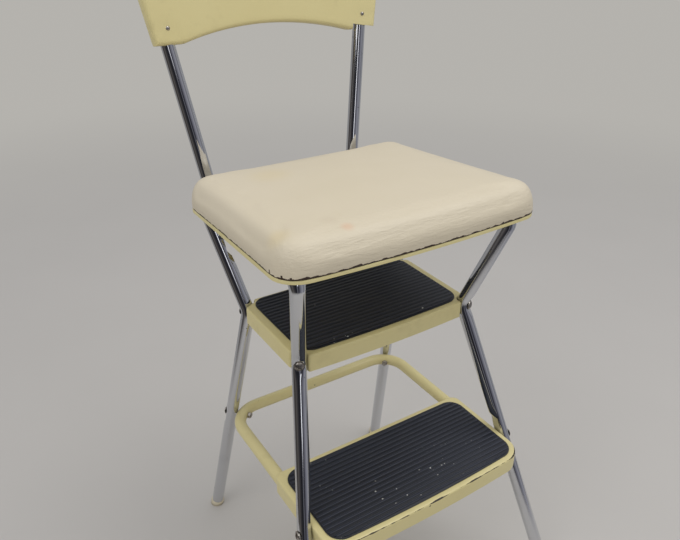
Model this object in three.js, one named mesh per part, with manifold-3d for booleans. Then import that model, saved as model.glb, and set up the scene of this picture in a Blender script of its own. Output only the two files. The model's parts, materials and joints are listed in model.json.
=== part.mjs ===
import * as THREE from "three";
import { mergeVertices } from "three/addons/utils/BufferGeometryUtils.js";
import Module from "manifold-3d";

const wasm = await Module();
wasm.setup();

// A step stool chair: two bent side tubes and two rear legs carry two steps,
// a backrest and a seat that flips up on a rear hinge. Millimetres, +Z up,
// the chair faces -Y. "spread" is a distance from the middle plane, "reach" a
// place along Y and "height" a place along Z.

// Stock, fits and fasteners
const tubeRadius = 9.5;
const tubeWall = 1.2;
const braceRadius = 8.8;
const tubePress = 1;
const pressLength = 19;
const stepSheet = 1.2;
const touchGap = 0.3;
const runningGap = 0.6;
const cutOverrun = 20;
const screwRadius = 2.5;
const screwHeadRadius = 6.4;
const screwHeadHeight = 3.2;
const screwTip = 1.5;
const headCrownShare = 0.75;
const headEdgeShare = 0.2;
const nutRadius = 4.8;
const nutHeight = 4;

// The seat's place, which the frame's top follows
const seatHeight = 580;
const seatMiddle = -30;
const seatTilt = THREE.MathUtils.degToRad(3.5);
const seatDepth = 300;
const hingeInset = 16;
const frontTopInset = 20.5;
const railRearInset = 22.5;
const rearTopInset = 34;
const postFootOutset = 35.58;
const seatFrontEdge = seatMiddle - seatDepth / 2;
const seatRearEdge = seatMiddle + seatDepth / 2;

// Frame
const frontFoot = { spread: 217, reach: -272.4 };
const frontKnee = { spread: 132.7, reach: -110.4 };
const frontTop = { spread: 159.1, reach: seatFrontEdge + frontTopInset };
const railRear = { spread: 136.8, reach: seatRearEdge - railRearInset };
const railRearBelowSeat = 38;
const rearFoot = { spread: 170.9, reach: 132.9 };
const rearKnee = { spread: 130, reach: 37.9 };
const rearTop = { spread: 156.9, reach: seatRearEdge - rearTopInset };
const rearTopAboveRail = 21.1;
const kneeHeight = 439;
const rearKneeDrop = 6.5;
const kneeBend = 25;
const topBend = 10.5;
const railBend = 120;
const postBend = 30;
const postFoot = { spread: 115.76, reach: seatRearEdge + postFootOutset };
const postFootBelowRail = 10;
const postFlareShare = 0.1527;
const postLeanShare = 0.1604;
const postTopHeight = 874;
const glideLip = 1.3;
const glideHeight = 10;
const glideEdge = 1;
const plugLength = 16;

// Seat
const seatHalfWidth = 181.1;
const seatTaper = 6;
const seatBow = 8.6;
const seatCorner = 31;
const hingeDrop = 1;
const panSheet = 1.5;
const rimHeight = 6;
const rimRound = 0.8;
const ledgeWidth = 4;
const deckRise = 3.5;
const boardInset = 14;
const boardThickness = 6;
const boardScrewRadius = 2;
const boardScrewInset = 60;
const cushionInset = 1.9;
const cushionSide = 6.7;
const cushionRoundWidth = 20;
const cushionRoundHeight = 31;
const cushionCrown = 4;
const cushionDraw = 1.2;
const bumperThickness = 2.4;
const bumperLength = 22;
const bumperWidth = 14;
const earThickness = 2.6;
const earHalfWidth = 11;
const eyeRadius = 6;
const bracketThickness = 3;
const bracketHalfWidth = 7;
const bracketLead = 3.5;
const pinHeadRadius = 5;
const pinHeadHeight = 2;

// Steps
const skirtHeight = 24;
const skirtRound = 3;
const upperStepBow = 3.5;
const stepCornerBlend = 3.5;
const upperSkirtBelowKnee = 14.5;
const upperStepPastFrontKnee = 7.4;
const upperStepPastRearKnee = 1.5;
const upperStepPastKneeSide = 5.9;
const lowerStepScrewHeight = 235;
const lowerSkirtBelowScrew = 14;
const lowerStepAheadOfLeg = 49.3;
const lowerStepDepth = 150.5;
const lowerStepBow = 5;
const lowerStepCorner = 22;
const matBase = 1.6;
const matRib = 1.2;
const matPitch = 6;
const ribWidthShare = 0.6;
const ribTopShare = 0.42;
const matCorner = 17;
const upperMatMargin = { side: 12, front: 8, rear: 5.5 };
const lowerMatMargin = { side: 9.5, front: 7.5, rear: 8.5 };
const braceBelowScrew = 2.7;
const braceBend = 42;
const bracePastScrew = 11;

// Backrest
const panelSheet = 1.6;
const panelAbovePost = 33;
const panelTopCrown = 6;
const panelTopCorner = 40;
const panelBottomCorner = 4;
const panelCurve = 12;
const panelFlange = 14;
const panelEdge = 4;
const panelArchBelowPost = 101.5;
const panelArchRise = 16.5;
const panelArchHalfWidth = 133;
const panelCornerBelowPost = 97.7;
const panelNotch = 3;
const panelPostShare = 0.892;
const panelScrewsBelowPost = [84, 14];
const panelScrewRadius = 2;
const panelScrewHeadRadius = 3.2;
const panelScrewHeadHeight = 1.6;
const panelScrewLength = 9;
const panelScrewInward = 2.5;

const chrome = { color: 0xc9ccd0, roughness: 0.14, metalness: 1 };
const zinc = { color: 0xa9a9a6, roughness: 0.35, metalness: 1 };
const yellowPaint = { color: 0xd3c486, roughness: 0.42, metalness: 0 };
const creamVinyl = { color: 0xcfc1a4, roughness: 0.55, metalness: 0 };
const blackRubber = { color: 0x2a2b33, roughness: 0.7, metalness: 0 };
const creamPlastic = { color: 0xd9cfb4, roughness: 0.5, metalness: 0 };
const plywood = { color: 0xb08a5a, roughness: 0.8, metalness: 0 };

const right = new THREE.Vector3(1, 0, 0);
const up = new THREE.Vector3(0, 0, 1);

function vector(place, height = place.height) {
  return new THREE.Vector3(place.spread, place.reach, height);
}

// A closed surface as a solid that can be cut and joined.
function solidOf(geometry) {
  const bare = geometry.clone();
  bare.deleteAttribute("normal");
  bare.deleteAttribute("uv");
  const welded = mergeVertices(bare, touchGap / 1000);
  return new wasm.Manifold(new wasm.Mesh({
    numProp: 3,
    vertProperties: new Float32Array(welded.attributes.position.array),
    triVerts: new Uint32Array(welded.index.array),
  }));
}

function mirrored(solid) {
  const mesh = solid.getMesh();
  const places = mesh.vertProperties.map((value, index) => (index % 3 === 0 ? -value : value));
  const faces = mesh.triVerts.slice();
  for (let face = 0; face < faces.length; face += 3) {
    [faces[face], faces[face + 1]] = [faces[face + 1], faces[face]];
  }
  return new wasm.Manifold(new wasm.Mesh({ numProp: 3, vertProperties: places, triVerts: faces }));
}

function joined(solids) {
  return solids.reduce((all, solid) => all.add(solid));
}

function without(solid, cuts) {
  return cuts.reduce((rest, cut) => rest.subtract(cut), solid);
}

function namedMesh(name, solid, look) {
  const { vertProperties, triVerts } = solid.getMesh();
  const geometry = new THREE.BufferGeometry();
  geometry.setAttribute("position", new THREE.BufferAttribute(vertProperties, 3));
  geometry.setIndex(new THREE.BufferAttribute(triVerts, 1));
  geometry.computeVertexNormals();
  const mesh = new THREE.Mesh(geometry, new THREE.MeshStandardMaterial(look));
  mesh.name = name;
  return mesh;
}

// Moves a geometry built around +Z so that its +Z follows a direction from a point.
function aimed(geometry, origin, direction) {
  geometry.applyQuaternion(new THREE.Quaternion().setFromUnitVectors(up, direction));
  geometry.translate(origin.x, origin.y, origin.z);
  return geometry;
}

function rod(origin, direction, radius, length, sides = 8) {
  const cylinder = new THREE.CylinderGeometry(radius, radius, length, sides);
  cylinder.rotateX(Math.PI / 2);
  cylinder.translate(0, 0, length / 2);
  return solidOf(aimed(cylinder, origin, direction));
}

function box(low, high) {
  const size = high.clone().sub(low);
  const middle = high.clone().add(low).multiplyScalar(0.5);
  return solidOf(new THREE.BoxGeometry(size.x, size.y, size.z).translate(middle.x, middle.y, middle.z));
}

function regularPolygon(radius, sides) {
  return Array.from({ length: sides }, (_, side) => {
    const angle = (2 * Math.PI * side) / sides;
    return new THREE.Vector2(radius * Math.cos(angle), radius * Math.sin(angle));
  });
}

// A flat outline extruded upwards from a height.
function prism(outline, bottom, height) {
  const shape = new THREE.Shape(outline);
  const geometry = new THREE.ExtrudeGeometry(shape, { depth: height, bevelEnabled: false });
  return solidOf(geometry.translate(0, 0, bottom));
}

// A route of straight runs and round bends, kept as its own points, so that an
// extrusion along it has one ring at each point.
class BentRoute extends THREE.Curve {
  constructor(points) {
    super();
    this.points = points;
  }

  indexAt(share) {
    return Math.round(share * (this.points.length - 1));
  }

  getPoint(share) {
    return this.points[this.indexAt(share)].clone();
  }

  getPointAt(share) {
    return this.getPoint(share);
  }

  getTangentAt(share) {
    const index = this.indexAt(share);
    const here = this.points[index];
    const before = this.points[Math.max(index - 1, 0)];
    const after = this.points[Math.min(index + 1, this.points.length - 1)];
    const arriving = here.clone().sub(before).normalize();
    const leaving = after.clone().sub(here).normalize();
    return arriving.add(leaving).normalize();
  }
}

// Corners are { at, bend }: the ends have no bend.
function bentPoints(corners, degreesPerStep = 18) {
  const points = [corners[0].at.clone()];
  for (let index = 1; index < corners.length - 1; index += 1) {
    const { at, bend } = corners[index];
    const back = corners[index - 1].at.clone().sub(at).normalize();
    const ahead = corners[index + 1].at.clone().sub(at).normalize();
    const half = back.angleTo(ahead) / 2;
    const inward = back.clone().add(ahead).normalize();
    const centre = at.clone().addScaledVector(inward, bend / Math.sin(half));
    const first = at.clone().addScaledVector(back, bend / Math.tan(half)).sub(centre);
    const last = at.clone().addScaledVector(ahead, bend / Math.tan(half)).sub(centre);
    const axis = first.clone().cross(last).normalize();
    const turn = first.angleTo(last);
    const steps = Math.max(2, Math.ceil(THREE.MathUtils.radToDeg(turn) / degreesPerStep));
    for (let step = 0; step <= steps; step += 1) {
      points.push(first.clone().applyAxisAngle(axis, (turn * step) / steps).add(centre));
    }
  }
  points.push(corners[corners.length - 1].at.clone());
  return points;
}

function sweep(points, radius, sides = 12) {
  const section = new THREE.Shape(regularPolygon(radius, sides));
  return solidOf(new THREE.ExtrudeGeometry(section, {
    steps: points.length - 1,
    extrudePath: new BentRoute(points),
  }));
}

function lengthened(points, extra) {
  const start = points[0].clone().sub(points[1]).normalize();
  const end = points[points.length - 1].clone().sub(points[points.length - 2]).normalize();
  return [
    points[0].clone().addScaledVector(start, extra),
    ...points.slice(1, -1),
    points[points.length - 1].clone().addScaledVector(end, extra),
  ];
}

// The block that a flat pressed into a tube takes away: beyond "half" along the
// normal, for a length along the tube.
function pressBlock({ at, normal, along, half, length }, wall) {
  const side = normal.clone().cross(along).normalize();
  const run = side.clone().cross(normal).normalize();
  const block = new THREE.BoxGeometry(length + 2 * wall, 4 * tubeRadius, cutOverrun);
  const middle = at.clone().addScaledVector(normal, half - wall + cutOverrun / 2);
  block.applyMatrix4(new THREE.Matrix4().makeBasis(run, side, normal).setPosition(middle));
  return solidOf(block);
}

// A hollow tube, open at both ends, with pressed flats and drilled holes.
function hollowTube(points, radius, presses, holes) {
  const outside = without(sweep(points, radius), presses.map((press) => pressBlock(press, 0)));
  const inside = without(
    sweep(lengthened(points, cutOverrun), radius - tubeWall),
    presses.map((press) => pressBlock(press, tubeWall)),
  );
  return without(outside.subtract(inside), holes);
}

// A pan-head screw along +Z of its own frame: the head lies behind the origin,
// the shank runs ahead of it.
function screwSolid(origin, direction, shankLength, radius, headRadius, headHeight) {
  const crown = headRadius * headCrownShare;
  const profile = [
    [0, -headHeight], [crown, -headHeight * headCrownShare], [headRadius, -headHeight * headEdgeShare],
    [headRadius, 0], [radius, 0], [radius, shankLength], [0, shankLength],
  ].map(([across, along]) => new THREE.Vector2(across, along));
  const lathe = new THREE.LatheGeometry(profile, 10);
  lathe.rotateX(Math.PI / 2);
  return solidOf(aimed(lathe, origin, direction));
}

// A screw with its nut. "seat" is the place under its head, "grip" what it holds.
function boltedJoint(seat, direction, grip) {
  const nutPlace = seat.clone().addScaledVector(direction, grip);
  const nut = rod(nutPlace, direction, nutRadius, nutHeight, 6);
  const hole = rod(seat, direction, screwRadius + touchGap, grip + nutHeight + cutOverrun);
  const length = grip + nutHeight + screwTip;
  return {
    screw: screwSolid(seat, direction, length, screwRadius, screwHeadRadius, screwHeadHeight),
    nut: nut.subtract(hole),
    hole,
  };
}

// A closed solid through rings with equal numbers of points, each end closed by
// faces round its middle.
function stack(rings) {
  const count = rings[0].length;
  const ends = [rings[0], rings[rings.length - 1]].map((ring) => (
    ring.reduce((sum, point) => sum.add(point), new THREE.Vector3()).divideScalar(count)
  ));
  const places = [...rings.flat(), ...ends].flatMap((point) => [point.x, point.y, point.z]);
  const [firstEnd, lastEnd] = [rings.length * count, rings.length * count + 1];
  const faces = [];
  for (let point = 0; point < count; point += 1) {
    const next = (point + 1) % count;
    for (let low = 0; low < (rings.length - 1) * count; low += count) {
      const high = low + count;
      faces.push(low + point, low + next, high + next, low + point, high + next, high + point);
    }
    const top = (rings.length - 1) * count;
    faces.push(next, point, firstEnd, top + point, top + next, lastEnd);
  }
  const geometry = new THREE.BufferGeometry();
  geometry.setAttribute("position", new THREE.Float32BufferAttribute(places, 3));
  geometry.setIndex(faces);
  return solidOf(geometry);
}

// A flat outline round { x, y, radius, runSteps } corners given anticlockwise,
// which may turn in as well as out.
// The straight run after a corner is divided into its runSteps.
function roundedOutline(corners, cornerSteps = 5) {
  const points = [];
  corners.forEach((corner, index) => {
    const at = new THREE.Vector2(corner.x, corner.y);
    const before = corners[(index + corners.length - 1) % corners.length];
    const after = corners[(index + 1) % corners.length];
    const back = new THREE.Vector2(before.x, before.y).sub(at).normalize();
    const ahead = new THREE.Vector2(after.x, after.y).sub(at).normalize();
    const half = Math.acos(back.dot(ahead)) / 2;
    const setBack = corner.radius / Math.tan(half);
    const inward = back.clone().add(ahead).normalize();
    const centre = at.clone().addScaledVector(inward, corner.radius / Math.sin(half));
    const start = at.clone().addScaledVector(back, setBack).sub(centre).angle();
    const turn = (Math.PI - 2 * half) * Math.sign(ahead.cross(back));
    for (let step = 0; step <= cornerSteps; step += 1) {
      const angle = start + (turn * step) / cornerSteps;
      const outwards = new THREE.Vector2(Math.cos(angle), Math.sin(angle));
      points.push(outwards.multiplyScalar(corner.radius).add(centre));
    }
  });
  return points.flatMap((point, index) => {
    const next = points[(index + 1) % points.length];
    const corner = corners[Math.floor(index / (cornerSteps + 1))];
    const divided = (index + 1) % (cornerSteps + 1) === 0 ? corner.runSteps : 1;
    return Array.from({ length: divided }, (_, step) => point.clone().lerp(next, step / divided));
  });
}

// An outline drawn in by a distance, edge by edge.
function inset(outline, distance) {
  return outline.map((point, index) => {
    const before = outline[(index + outline.length - 1) % outline.length];
    const after = outline[(index + 1) % outline.length];
    const arriving = point.clone().sub(before).normalize();
    const leaving = after.clone().sub(point).normalize();
    const inward = new THREE.Vector2(-arriving.y - leaving.y, arriving.x + leaving.x).normalize();
    const spread = inward.dot(new THREE.Vector2(-arriving.y, arriving.x));
    return point.clone().addScaledVector(inward, distance / spread);
  });
}

function ringAt(outline, height) {
  return outline.map((point) => new THREE.Vector3(point.x, point.y, height));
}

// Pushes the front half of an outline forwards in an arc.
function bowed(outline, middle, halfWidth, bow) {
  return outline.map((point) => {
    const push = point.y < middle ? bow * (1 - (point.x / halfWidth) ** 2) : 0;
    return new THREE.Vector2(point.x, point.y - push);
  });
}

// A pressed tray turned upside down: a deck with a rounded edge and a skirt.
function tray(outline, skirtFoot, top, sheet, edge) {
  const edgeShares = [0, 0.3, 0.7, 1];
  const rings = (drawnIn, foot, deck, round) => [
    ringAt(inset(outline, drawnIn), foot),
    ...edgeShares.map((share) => {
      const angle = (share * Math.PI) / 2;
      const outer = inset(outline, drawnIn + round * (1 - Math.cos(angle)));
      return ringAt(outer, deck - round * (1 - Math.sin(angle)));
    }),
  ];
  const outside = stack(rings(0, skirtFoot, top, edge));
  const inside = stack(rings(sheet, skirtFoot - cutOverrun, top - sheet, edge - sheet));
  return outside.subtract(inside);
}

// A rubber mat with ribs across its tread.
function ribbedMat(outline, bottom) {
  const front = Math.min(...outline.map((point) => point.y));
  const rear = Math.max(...outline.map((point) => point.y));
  const halfWidth = Math.max(...outline.map((point) => point.x));
  const ribs = Math.floor((rear - front) / matPitch);
  const first = (front + rear - ribs * matPitch) / 2;
  const profile = [0, matBase].map((height) => new THREE.Vector2(front - cutOverrun, height));
  for (let rib = 0; rib < ribs; rib += 1) {
    const middle = first + (rib + 0.5) * matPitch;
    const foot = (matPitch * ribWidthShare) / 2;
    const crest = (matPitch * ribTopShare) / 2;
    profile.push(
      new THREE.Vector2(middle - foot, matBase),
      new THREE.Vector2(middle - crest, matBase + matRib),
      new THREE.Vector2(middle + crest, matBase + matRib),
      new THREE.Vector2(middle + foot, matBase),
    );
  }
  profile.push(new THREE.Vector2(rear + cutOverrun, matBase), new THREE.Vector2(rear + cutOverrun, 0));
  const length = 2 * (halfWidth + cutOverrun);
  const comb = new THREE.ExtrudeGeometry(new THREE.Shape(profile), { depth: length, bevelEnabled: false });
  comb.translate(0, 0, -length / 2);
  comb.applyMatrix4(new THREE.Matrix4().makeBasis(new THREE.Vector3(0, 1, 0), up, right));
  comb.translate(0, 0, bottom);
  return solidOf(comb).intersect(prism(outline, bottom - cutOverrun, 2 * cutOverrun + matBase + matRib));
}

function rectangle(halfWidth, front, rear, radius, frontSteps = 1, otherSteps = 1) {
  return [
    { x: -halfWidth, y: front, radius, runSteps: frontSteps },
    { x: halfWidth, y: front, radius, runSteps: otherSteps },
    { x: halfWidth, y: rear, radius, runSteps: otherSteps },
    { x: -halfWidth, y: rear, radius, runSteps: otherSteps },
  ];
}

// The seat's own frame: its origin is on the hinge axis, tilted with the seat.
const hingeReach = seatRearEdge - hingeInset;
const hingeHeight = seatHeight - (hingeReach - seatMiddle) * Math.tan(seatTilt) - hingeDrop;
const hinge = new THREE.Vector3(0, hingeReach, hingeHeight);
const seatNormal = new THREE.Vector3(0, Math.sin(seatTilt), Math.cos(seatTilt));
const seatBack = new THREE.Vector3(0, Math.cos(seatTilt), -Math.sin(seatTilt));
const rimFoot = hingeDrop;
const rimTop = rimFoot + rimHeight;
const deckTop = rimTop + deckRise;
const deckUnderside = deckTop - panSheet;
const seatFront = (seatMiddle - hingeReach) / Math.cos(seatTilt) - seatDepth / 2;
const seatRear = seatFront + seatDepth;

// Frame centrelines
const railRearPoint = vector(railRear, seatHeight - railRearBelowSeat);
const postFootHeight = railRearPoint.z - postFootBelowRail;

function postAt(height) {
  const climb = height - postFootHeight;
  return new THREE.Vector3(
    postFoot.spread + climb * postFlareShare,
    postFoot.reach + climb * postLeanShare,
    height,
  );
}

function pointOnLine(start, end, height) {
  return start.clone().lerp(end, (height - start.z) / (end.z - start.z));
}

const frontFootPoint = vector(frontFoot, 0);
const frontKneePoint = vector(frontKnee, kneeHeight);
const rearFootPoint = vector(rearFoot, 0);
const rearKneePoint = vector(rearKnee, kneeHeight - rearKneeDrop);

// A leg's tube starts on top of its glide.
function tubeStart(foot, knee) {
  const along = knee.clone().sub(foot).normalize();
  return foot.clone().addScaledVector(along, glideHeight + touchGap);
}

function sideTubeCorners(topHeight) {
  return [
    { at: tubeStart(frontFootPoint, frontKneePoint) },
    { at: frontKneePoint, bend: kneeBend },
    { at: vector(frontTop, topHeight), bend: topBend },
    { at: railRearPoint, bend: railBend },
    { at: postAt(postFootHeight), bend: postBend },
    { at: postAt(postTopHeight) },
  ];
}

// The top bend is as high as the bumper under the seat lets it be.
function topBendPeakAt(topHeight) {
  const points = bentPoints(sideTubeCorners(topHeight).slice(0, 4));
  const heights = points.map((point) => point.clone().sub(hinge).dot(seatNormal));
  const highest = Math.max(...heights);
  return { height: highest, point: points[heights.indexOf(highest)] };
}

const bumperUnderside = deckUnderside - touchGap - bumperThickness;
const trialHeight = seatHeight;
const trialPeak = topBendPeakAt(trialHeight);
const topHeight = trialHeight + bumperUnderside - touchGap - tubeRadius - trialPeak.height;
const sideTubePoints = bentPoints(sideTubeCorners(topHeight));
const topBendPeak = topBendPeakAt(topHeight).point;
const railSlope = (railRearPoint.z - topHeight) / (railRear.reach - frontTop.reach);
const railUnderRearTop = topHeight + railSlope * (rearTop.reach - frontTop.reach);
const rearTopPoint = vector(rearTop, railUnderRearTop + rearTopAboveRail);
const rearLegPoints = bentPoints([
  { at: tubeStart(rearFootPoint, rearKneePoint) },
  { at: rearKneePoint, bend: kneeBend },
  { at: rearTopPoint },
]);

// A knee's middle point on its bend, and the level direction in which it is open.
function kneeOf(before, knee, after) {
  const back = before.clone().sub(knee).normalize();
  const ahead = after.clone().sub(knee).normalize();
  const half = back.angleTo(ahead) / 2;
  const inward = back.clone().add(ahead).normalize();
  const middle = knee.clone().addScaledVector(inward, kneeBend / Math.sin(half) - kneeBend);
  return { middle, outward: new THREE.Vector3(inward.x, inward.y, 0).normalize() };
}

const frontKneeBend = kneeOf(frontFootPoint, frontKneePoint, vector(frontTop, topHeight));
const rearKneeBend = kneeOf(rearFootPoint, rearKneePoint, rearTopPoint);
const flatHalf = tubeRadius - tubePress;

// A flat pressed into a leg, where a screw head or a step bears.
function legPress(at, normal) {
  return { at, normal, along: up, half: flatHalf, length: pressLength };
}

function kneePresses(knee) {
  return [legPress(knee.middle, knee.outward), legPress(knee.middle, knee.outward.clone().negate())];
}

function kneeBolt(knee) {
  const seat = knee.middle.clone().addScaledVector(knee.outward, flatHalf + touchGap);
  return boltedJoint(seat, knee.outward.clone().negate(), 2 * flatHalf + 3 * touchGap + stepSheet);
}

const frontKneeBolt = kneeBolt(frontKneeBend);
const rearKneeBolt = kneeBolt(rearKneeBend);

// The upper step fills the space between the knees. At each one its skirt stops
// beside the tube and turns in to a wall that is square to the screw.
const upperStepHalfWidth = frontKneeBend.middle.x + upperStepPastKneeSide;
const upperStepFront = frontKneeBend.middle.y - upperStepPastFrontKnee;
const upperStepRear = rearKneeBend.middle.y + upperStepPastRearKnee;
const upperSkirtFoot = kneeHeight - upperSkirtBelowKnee;
const upperDeck = upperSkirtFoot + skirtHeight;

function cornerCut(knee, reach) {
  const { middle, outward } = knee;
  const distance = outward.dot(middle) - flatHalf - touchGap;
  const beside = middle.x - tubeRadius - runningGap;
  const corner = (x, y) => ({ x, y, radius: stepCornerBlend, runSteps: 1 });
  return {
    edge: corner(beside, reach),
    inner: corner(beside, (distance - outward.x * beside) / outward.y),
    side: corner(upperStepHalfWidth, (distance - outward.x * upperStepHalfWidth) / outward.y),
  };
}

function flipped(corner) {
  return { ...corner, x: -corner.x };
}

const frontCut = cornerCut(frontKneeBend, upperStepFront);
const rearCut = cornerCut(rearKneeBend, upperStepRear);
const upperCorners = [
  { ...flipped(frontCut.edge), runSteps: 6 },
  frontCut.edge, frontCut.inner, frontCut.side, rearCut.side, rearCut.inner, rearCut.edge,
  ...[rearCut.edge, rearCut.inner, rearCut.side, frontCut.side, frontCut.inner].map(flipped),
];

function bowedBetweenCuts(outline) {
  return outline.map((point) => {
    const share = Math.min(1, Math.abs(point.x) / frontCut.edge.x);
    const push = point.y < upperStepFront + stepCornerBlend ? upperStepBow * (1 - share ** 2) : 0;
    return new THREE.Vector2(point.x, point.y - push);
  });
}

const upperStepOutline = bowedBetweenCuts(roundedOutline(upperCorners, 3));
const upperStep = without(
  tray(upperStepOutline, upperSkirtFoot, upperDeck, stepSheet, skirtRound),
  [frontKneeBolt.hole, rearKneeBolt.hole, mirrored(frontKneeBolt.hole), mirrored(rearKneeBolt.hole)],
);

function matOutline(halfWidth, front, rear, margin, bow) {
  const outline = roundedOutline(rectangle(
    halfWidth - margin.side, front + margin.front, rear - margin.rear, matCorner, 8,
  ));
  return bowed(outline, (front + rear) / 2, halfWidth - margin.side, bow);
}

const upperMatOutline = matOutline(
  upperStepHalfWidth, upperStepFront, upperStepRear, upperMatMargin, upperStepBow,
);
const upperMat = ribbedMat(upperMatOutline, upperDeck + touchGap);

// The lower step sits between the front legs, which are pressed flat against it.
const stepScrewPoint = pointOnLine(frontFootPoint, frontKneePoint, lowerStepScrewHeight);
const lowerStepHalfWidth = stepScrewPoint.x - flatHalf - touchGap;
const lowerStepFront = stepScrewPoint.y - lowerStepAheadOfLeg;
const lowerStepRear = lowerStepFront + lowerStepDepth;
const lowerSkirtFoot = lowerStepScrewHeight - lowerSkirtBelowScrew;
const lowerDeck = lowerSkirtFoot + skirtHeight;
const lowerStepOutline = bowed(
  roundedOutline(rectangle(lowerStepHalfWidth, lowerStepFront, lowerStepRear, lowerStepCorner, 8)),
  (lowerStepFront + lowerStepRear) / 2,
  lowerStepHalfWidth,
  lowerStepBow,
);
const braceSpread = lowerStepHalfWidth - stepSheet - touchGap - braceRadius;
const braceHeight = lowerStepScrewHeight - braceBelowScrew;
const lowerStepPress = {
  at: stepScrewPoint,
  normal: right.clone().negate(),
  along: up,
  half: flatHalf,
  length: 2 * (skirtHeight + touchGap),
};
const stepBoltSeat = stepScrewPoint.clone().addScaledVector(right, flatHalf + touchGap);
const stepBolt = boltedJoint(
  stepBoltSeat,
  right.clone().negate(),
  stepBoltSeat.x - braceSpread + braceRadius + touchGap,
);

// The brace runs from the lower step round inside the rear legs. Its rear
// bends touch the legs, and that sets how far back it reaches.
const braceCrossing = pointOnLine(rearFootPoint, rearKneePoint, braceHeight);
const rearLegAlong = rearKneePoint.clone().sub(rearFootPoint).normalize();
const braceContact = (tubeRadius + braceRadius + touchGap) / rearLegAlong.z + touchGap;
const braceSideStep = braceCrossing.x - braceSpread + braceBend;
const braceBackStep = Math.sqrt((braceBend + braceContact) ** 2 - braceSideStep ** 2);
const braceRear = braceCrossing.y - braceBackStep + braceBend;
const braceFront = stepScrewPoint.y - bracePastScrew;
const bracePoints = bentPoints([
  { at: new THREE.Vector3(-braceSpread, braceFront, braceHeight) },
  { at: new THREE.Vector3(-braceSpread, braceRear, braceHeight), bend: braceBend },
  { at: new THREE.Vector3(braceSpread, braceRear, braceHeight), bend: braceBend },
  { at: new THREE.Vector3(braceSpread, braceFront, braceHeight) },
]);
const braceOutward = new THREE.Vector3(braceSideStep, braceBackStep, 0).normalize();
const braceSeatDistance = flatHalf + touchGap;
const braceHollow = nutRadius ** 2 / (2 * (braceBend - braceRadius));
const braceBolt = boltedJoint(
  braceCrossing.clone().addScaledVector(braceOutward, braceSeatDistance),
  braceOutward.clone().negate(),
  braceSeatDistance + braceContact + braceRadius + braceHollow + touchGap,
);
const stepBrace = hollowTube(bracePoints, braceRadius, [], [
  stepBolt.hole, mirrored(stepBolt.hole), braceBolt.hole, mirrored(braceBolt.hole),
]);
const lowerStep = without(
  tray(lowerStepOutline, lowerSkirtFoot, lowerDeck, stepSheet, skirtRound),
  [
    stepBolt.hole, mirrored(stepBolt.hole),
    ...[1, -1].map((side) => rod(
      new THREE.Vector3(side * braceSpread, lowerStepRear - lowerStepCorner, braceHeight),
      new THREE.Vector3(0, 1, 0),
      braceRadius + touchGap,
      2 * lowerStepCorner,
      12,
    )),
  ],
);
const lowerMatOutline = matOutline(
  lowerStepHalfWidth, lowerStepFront, lowerStepRear, lowerMatMargin, lowerStepBow,
);
const lowerMat = ribbedMat(lowerMatOutline, lowerDeck + touchGap);

// The rear legs lap the outside of the rails where the two cross, side on.
function placeOnRail(reach) {
  const railStart = vector(frontTop, topHeight);
  return railStart.clone().lerp(railRearPoint, (reach - railStart.y) / (railRearPoint.y - railStart.y));
}

const legSlope = (rearTop.reach - rearKnee.reach) / (rearTopPoint.z - rearKneePoint.z);
const lapHeight = (topHeight + railSlope * (rearKnee.reach - frontTop.reach - legSlope * rearKneePoint.z))
  / (1 - railSlope * legSlope);
const lapOnLeg = pointOnLine(rearKneePoint, rearTopPoint, lapHeight);
const lapOnRail = placeOnRail(lapOnLeg.y);
const lapPlane = (lapOnLeg.x + lapOnRail.x) / 2;
const lapHalf = lapPlane - lapOnRail.x - touchGap / 2;
const lapLength = 3 * tubeRadius;
const railLapPress = { at: lapOnRail, normal: right, along: seatBack, half: lapHalf, length: lapLength };
const legLapPress = {
  at: lapOnLeg,
  normal: right.clone().negate(),
  along: up,
  half: lapHalf,
  length: 2 * (rearTopPoint.z - lapHeight + tubeRadius),
};
const railTaper = (frontTop.spread - railRear.spread) / (railRear.reach - frontTop.reach);
const railSeatDistance = tubeRadius + screwHeadRadius * railTaper + touchGap;
const lapScrewSeat = lapOnRail.clone().addScaledVector(right, -railSeatDistance);
const lapBolt = boltedJoint(lapScrewSeat, right, railSeatDistance + lapHalf + 2 * touchGap + tubeWall);

// Hinge: a bracket stands on the inside of each rail and carries the seat's ear.
const bracketFoot = placeOnRail(hingeReach - bracketLead);
const bracketOuter = bracketFoot.x - flatHalf - touchGap;
const bracketInner = bracketOuter - bracketThickness;
const earOuter = bracketInner - runningGap;
const earInner = earOuter - earThickness;
const bracketPress = {
  at: bracketFoot,
  normal: right.clone().negate(),
  along: seatBack,
  half: flatHalf,
  length: 2 * (bracketHalfWidth + touchGap),
};
const bracketBolt = boltedJoint(
  bracketFoot.clone().addScaledVector(right, railSeatDistance),
  right.clone().negate(),
  railSeatDistance + flatHalf + 2 * touchGap + bracketThickness,
);
const pinHole = rod(
  new THREE.Vector3(earInner - cutOverrun, hinge.y, hinge.z), right,
  screwRadius + touchGap, bracketOuter - earInner + 2 * cutOverrun,
);

function arc(centre, radius, start, turn, steps) {
  return Array.from({ length: steps + 1 }, (_, step) => {
    const angle = start + (turn * step) / steps;
    return new THREE.Vector2(centre.x + radius * Math.cos(angle), centre.y + radius * Math.sin(angle));
  });
}

// A plate square to X, from its inner face, with its outline in (Y, Z).
function sidePlate(outline, inner, thickness) {
  const shape = new THREE.Shape(outline);
  const plate = new THREE.ExtrudeGeometry(shape, { depth: thickness, bevelEnabled: false });
  plate.applyMatrix4(new THREE.Matrix4().makeBasis(new THREE.Vector3(0, 1, 0), up, right));
  plate.translate(inner, 0, 0);
  return solidOf(plate);
}

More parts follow.
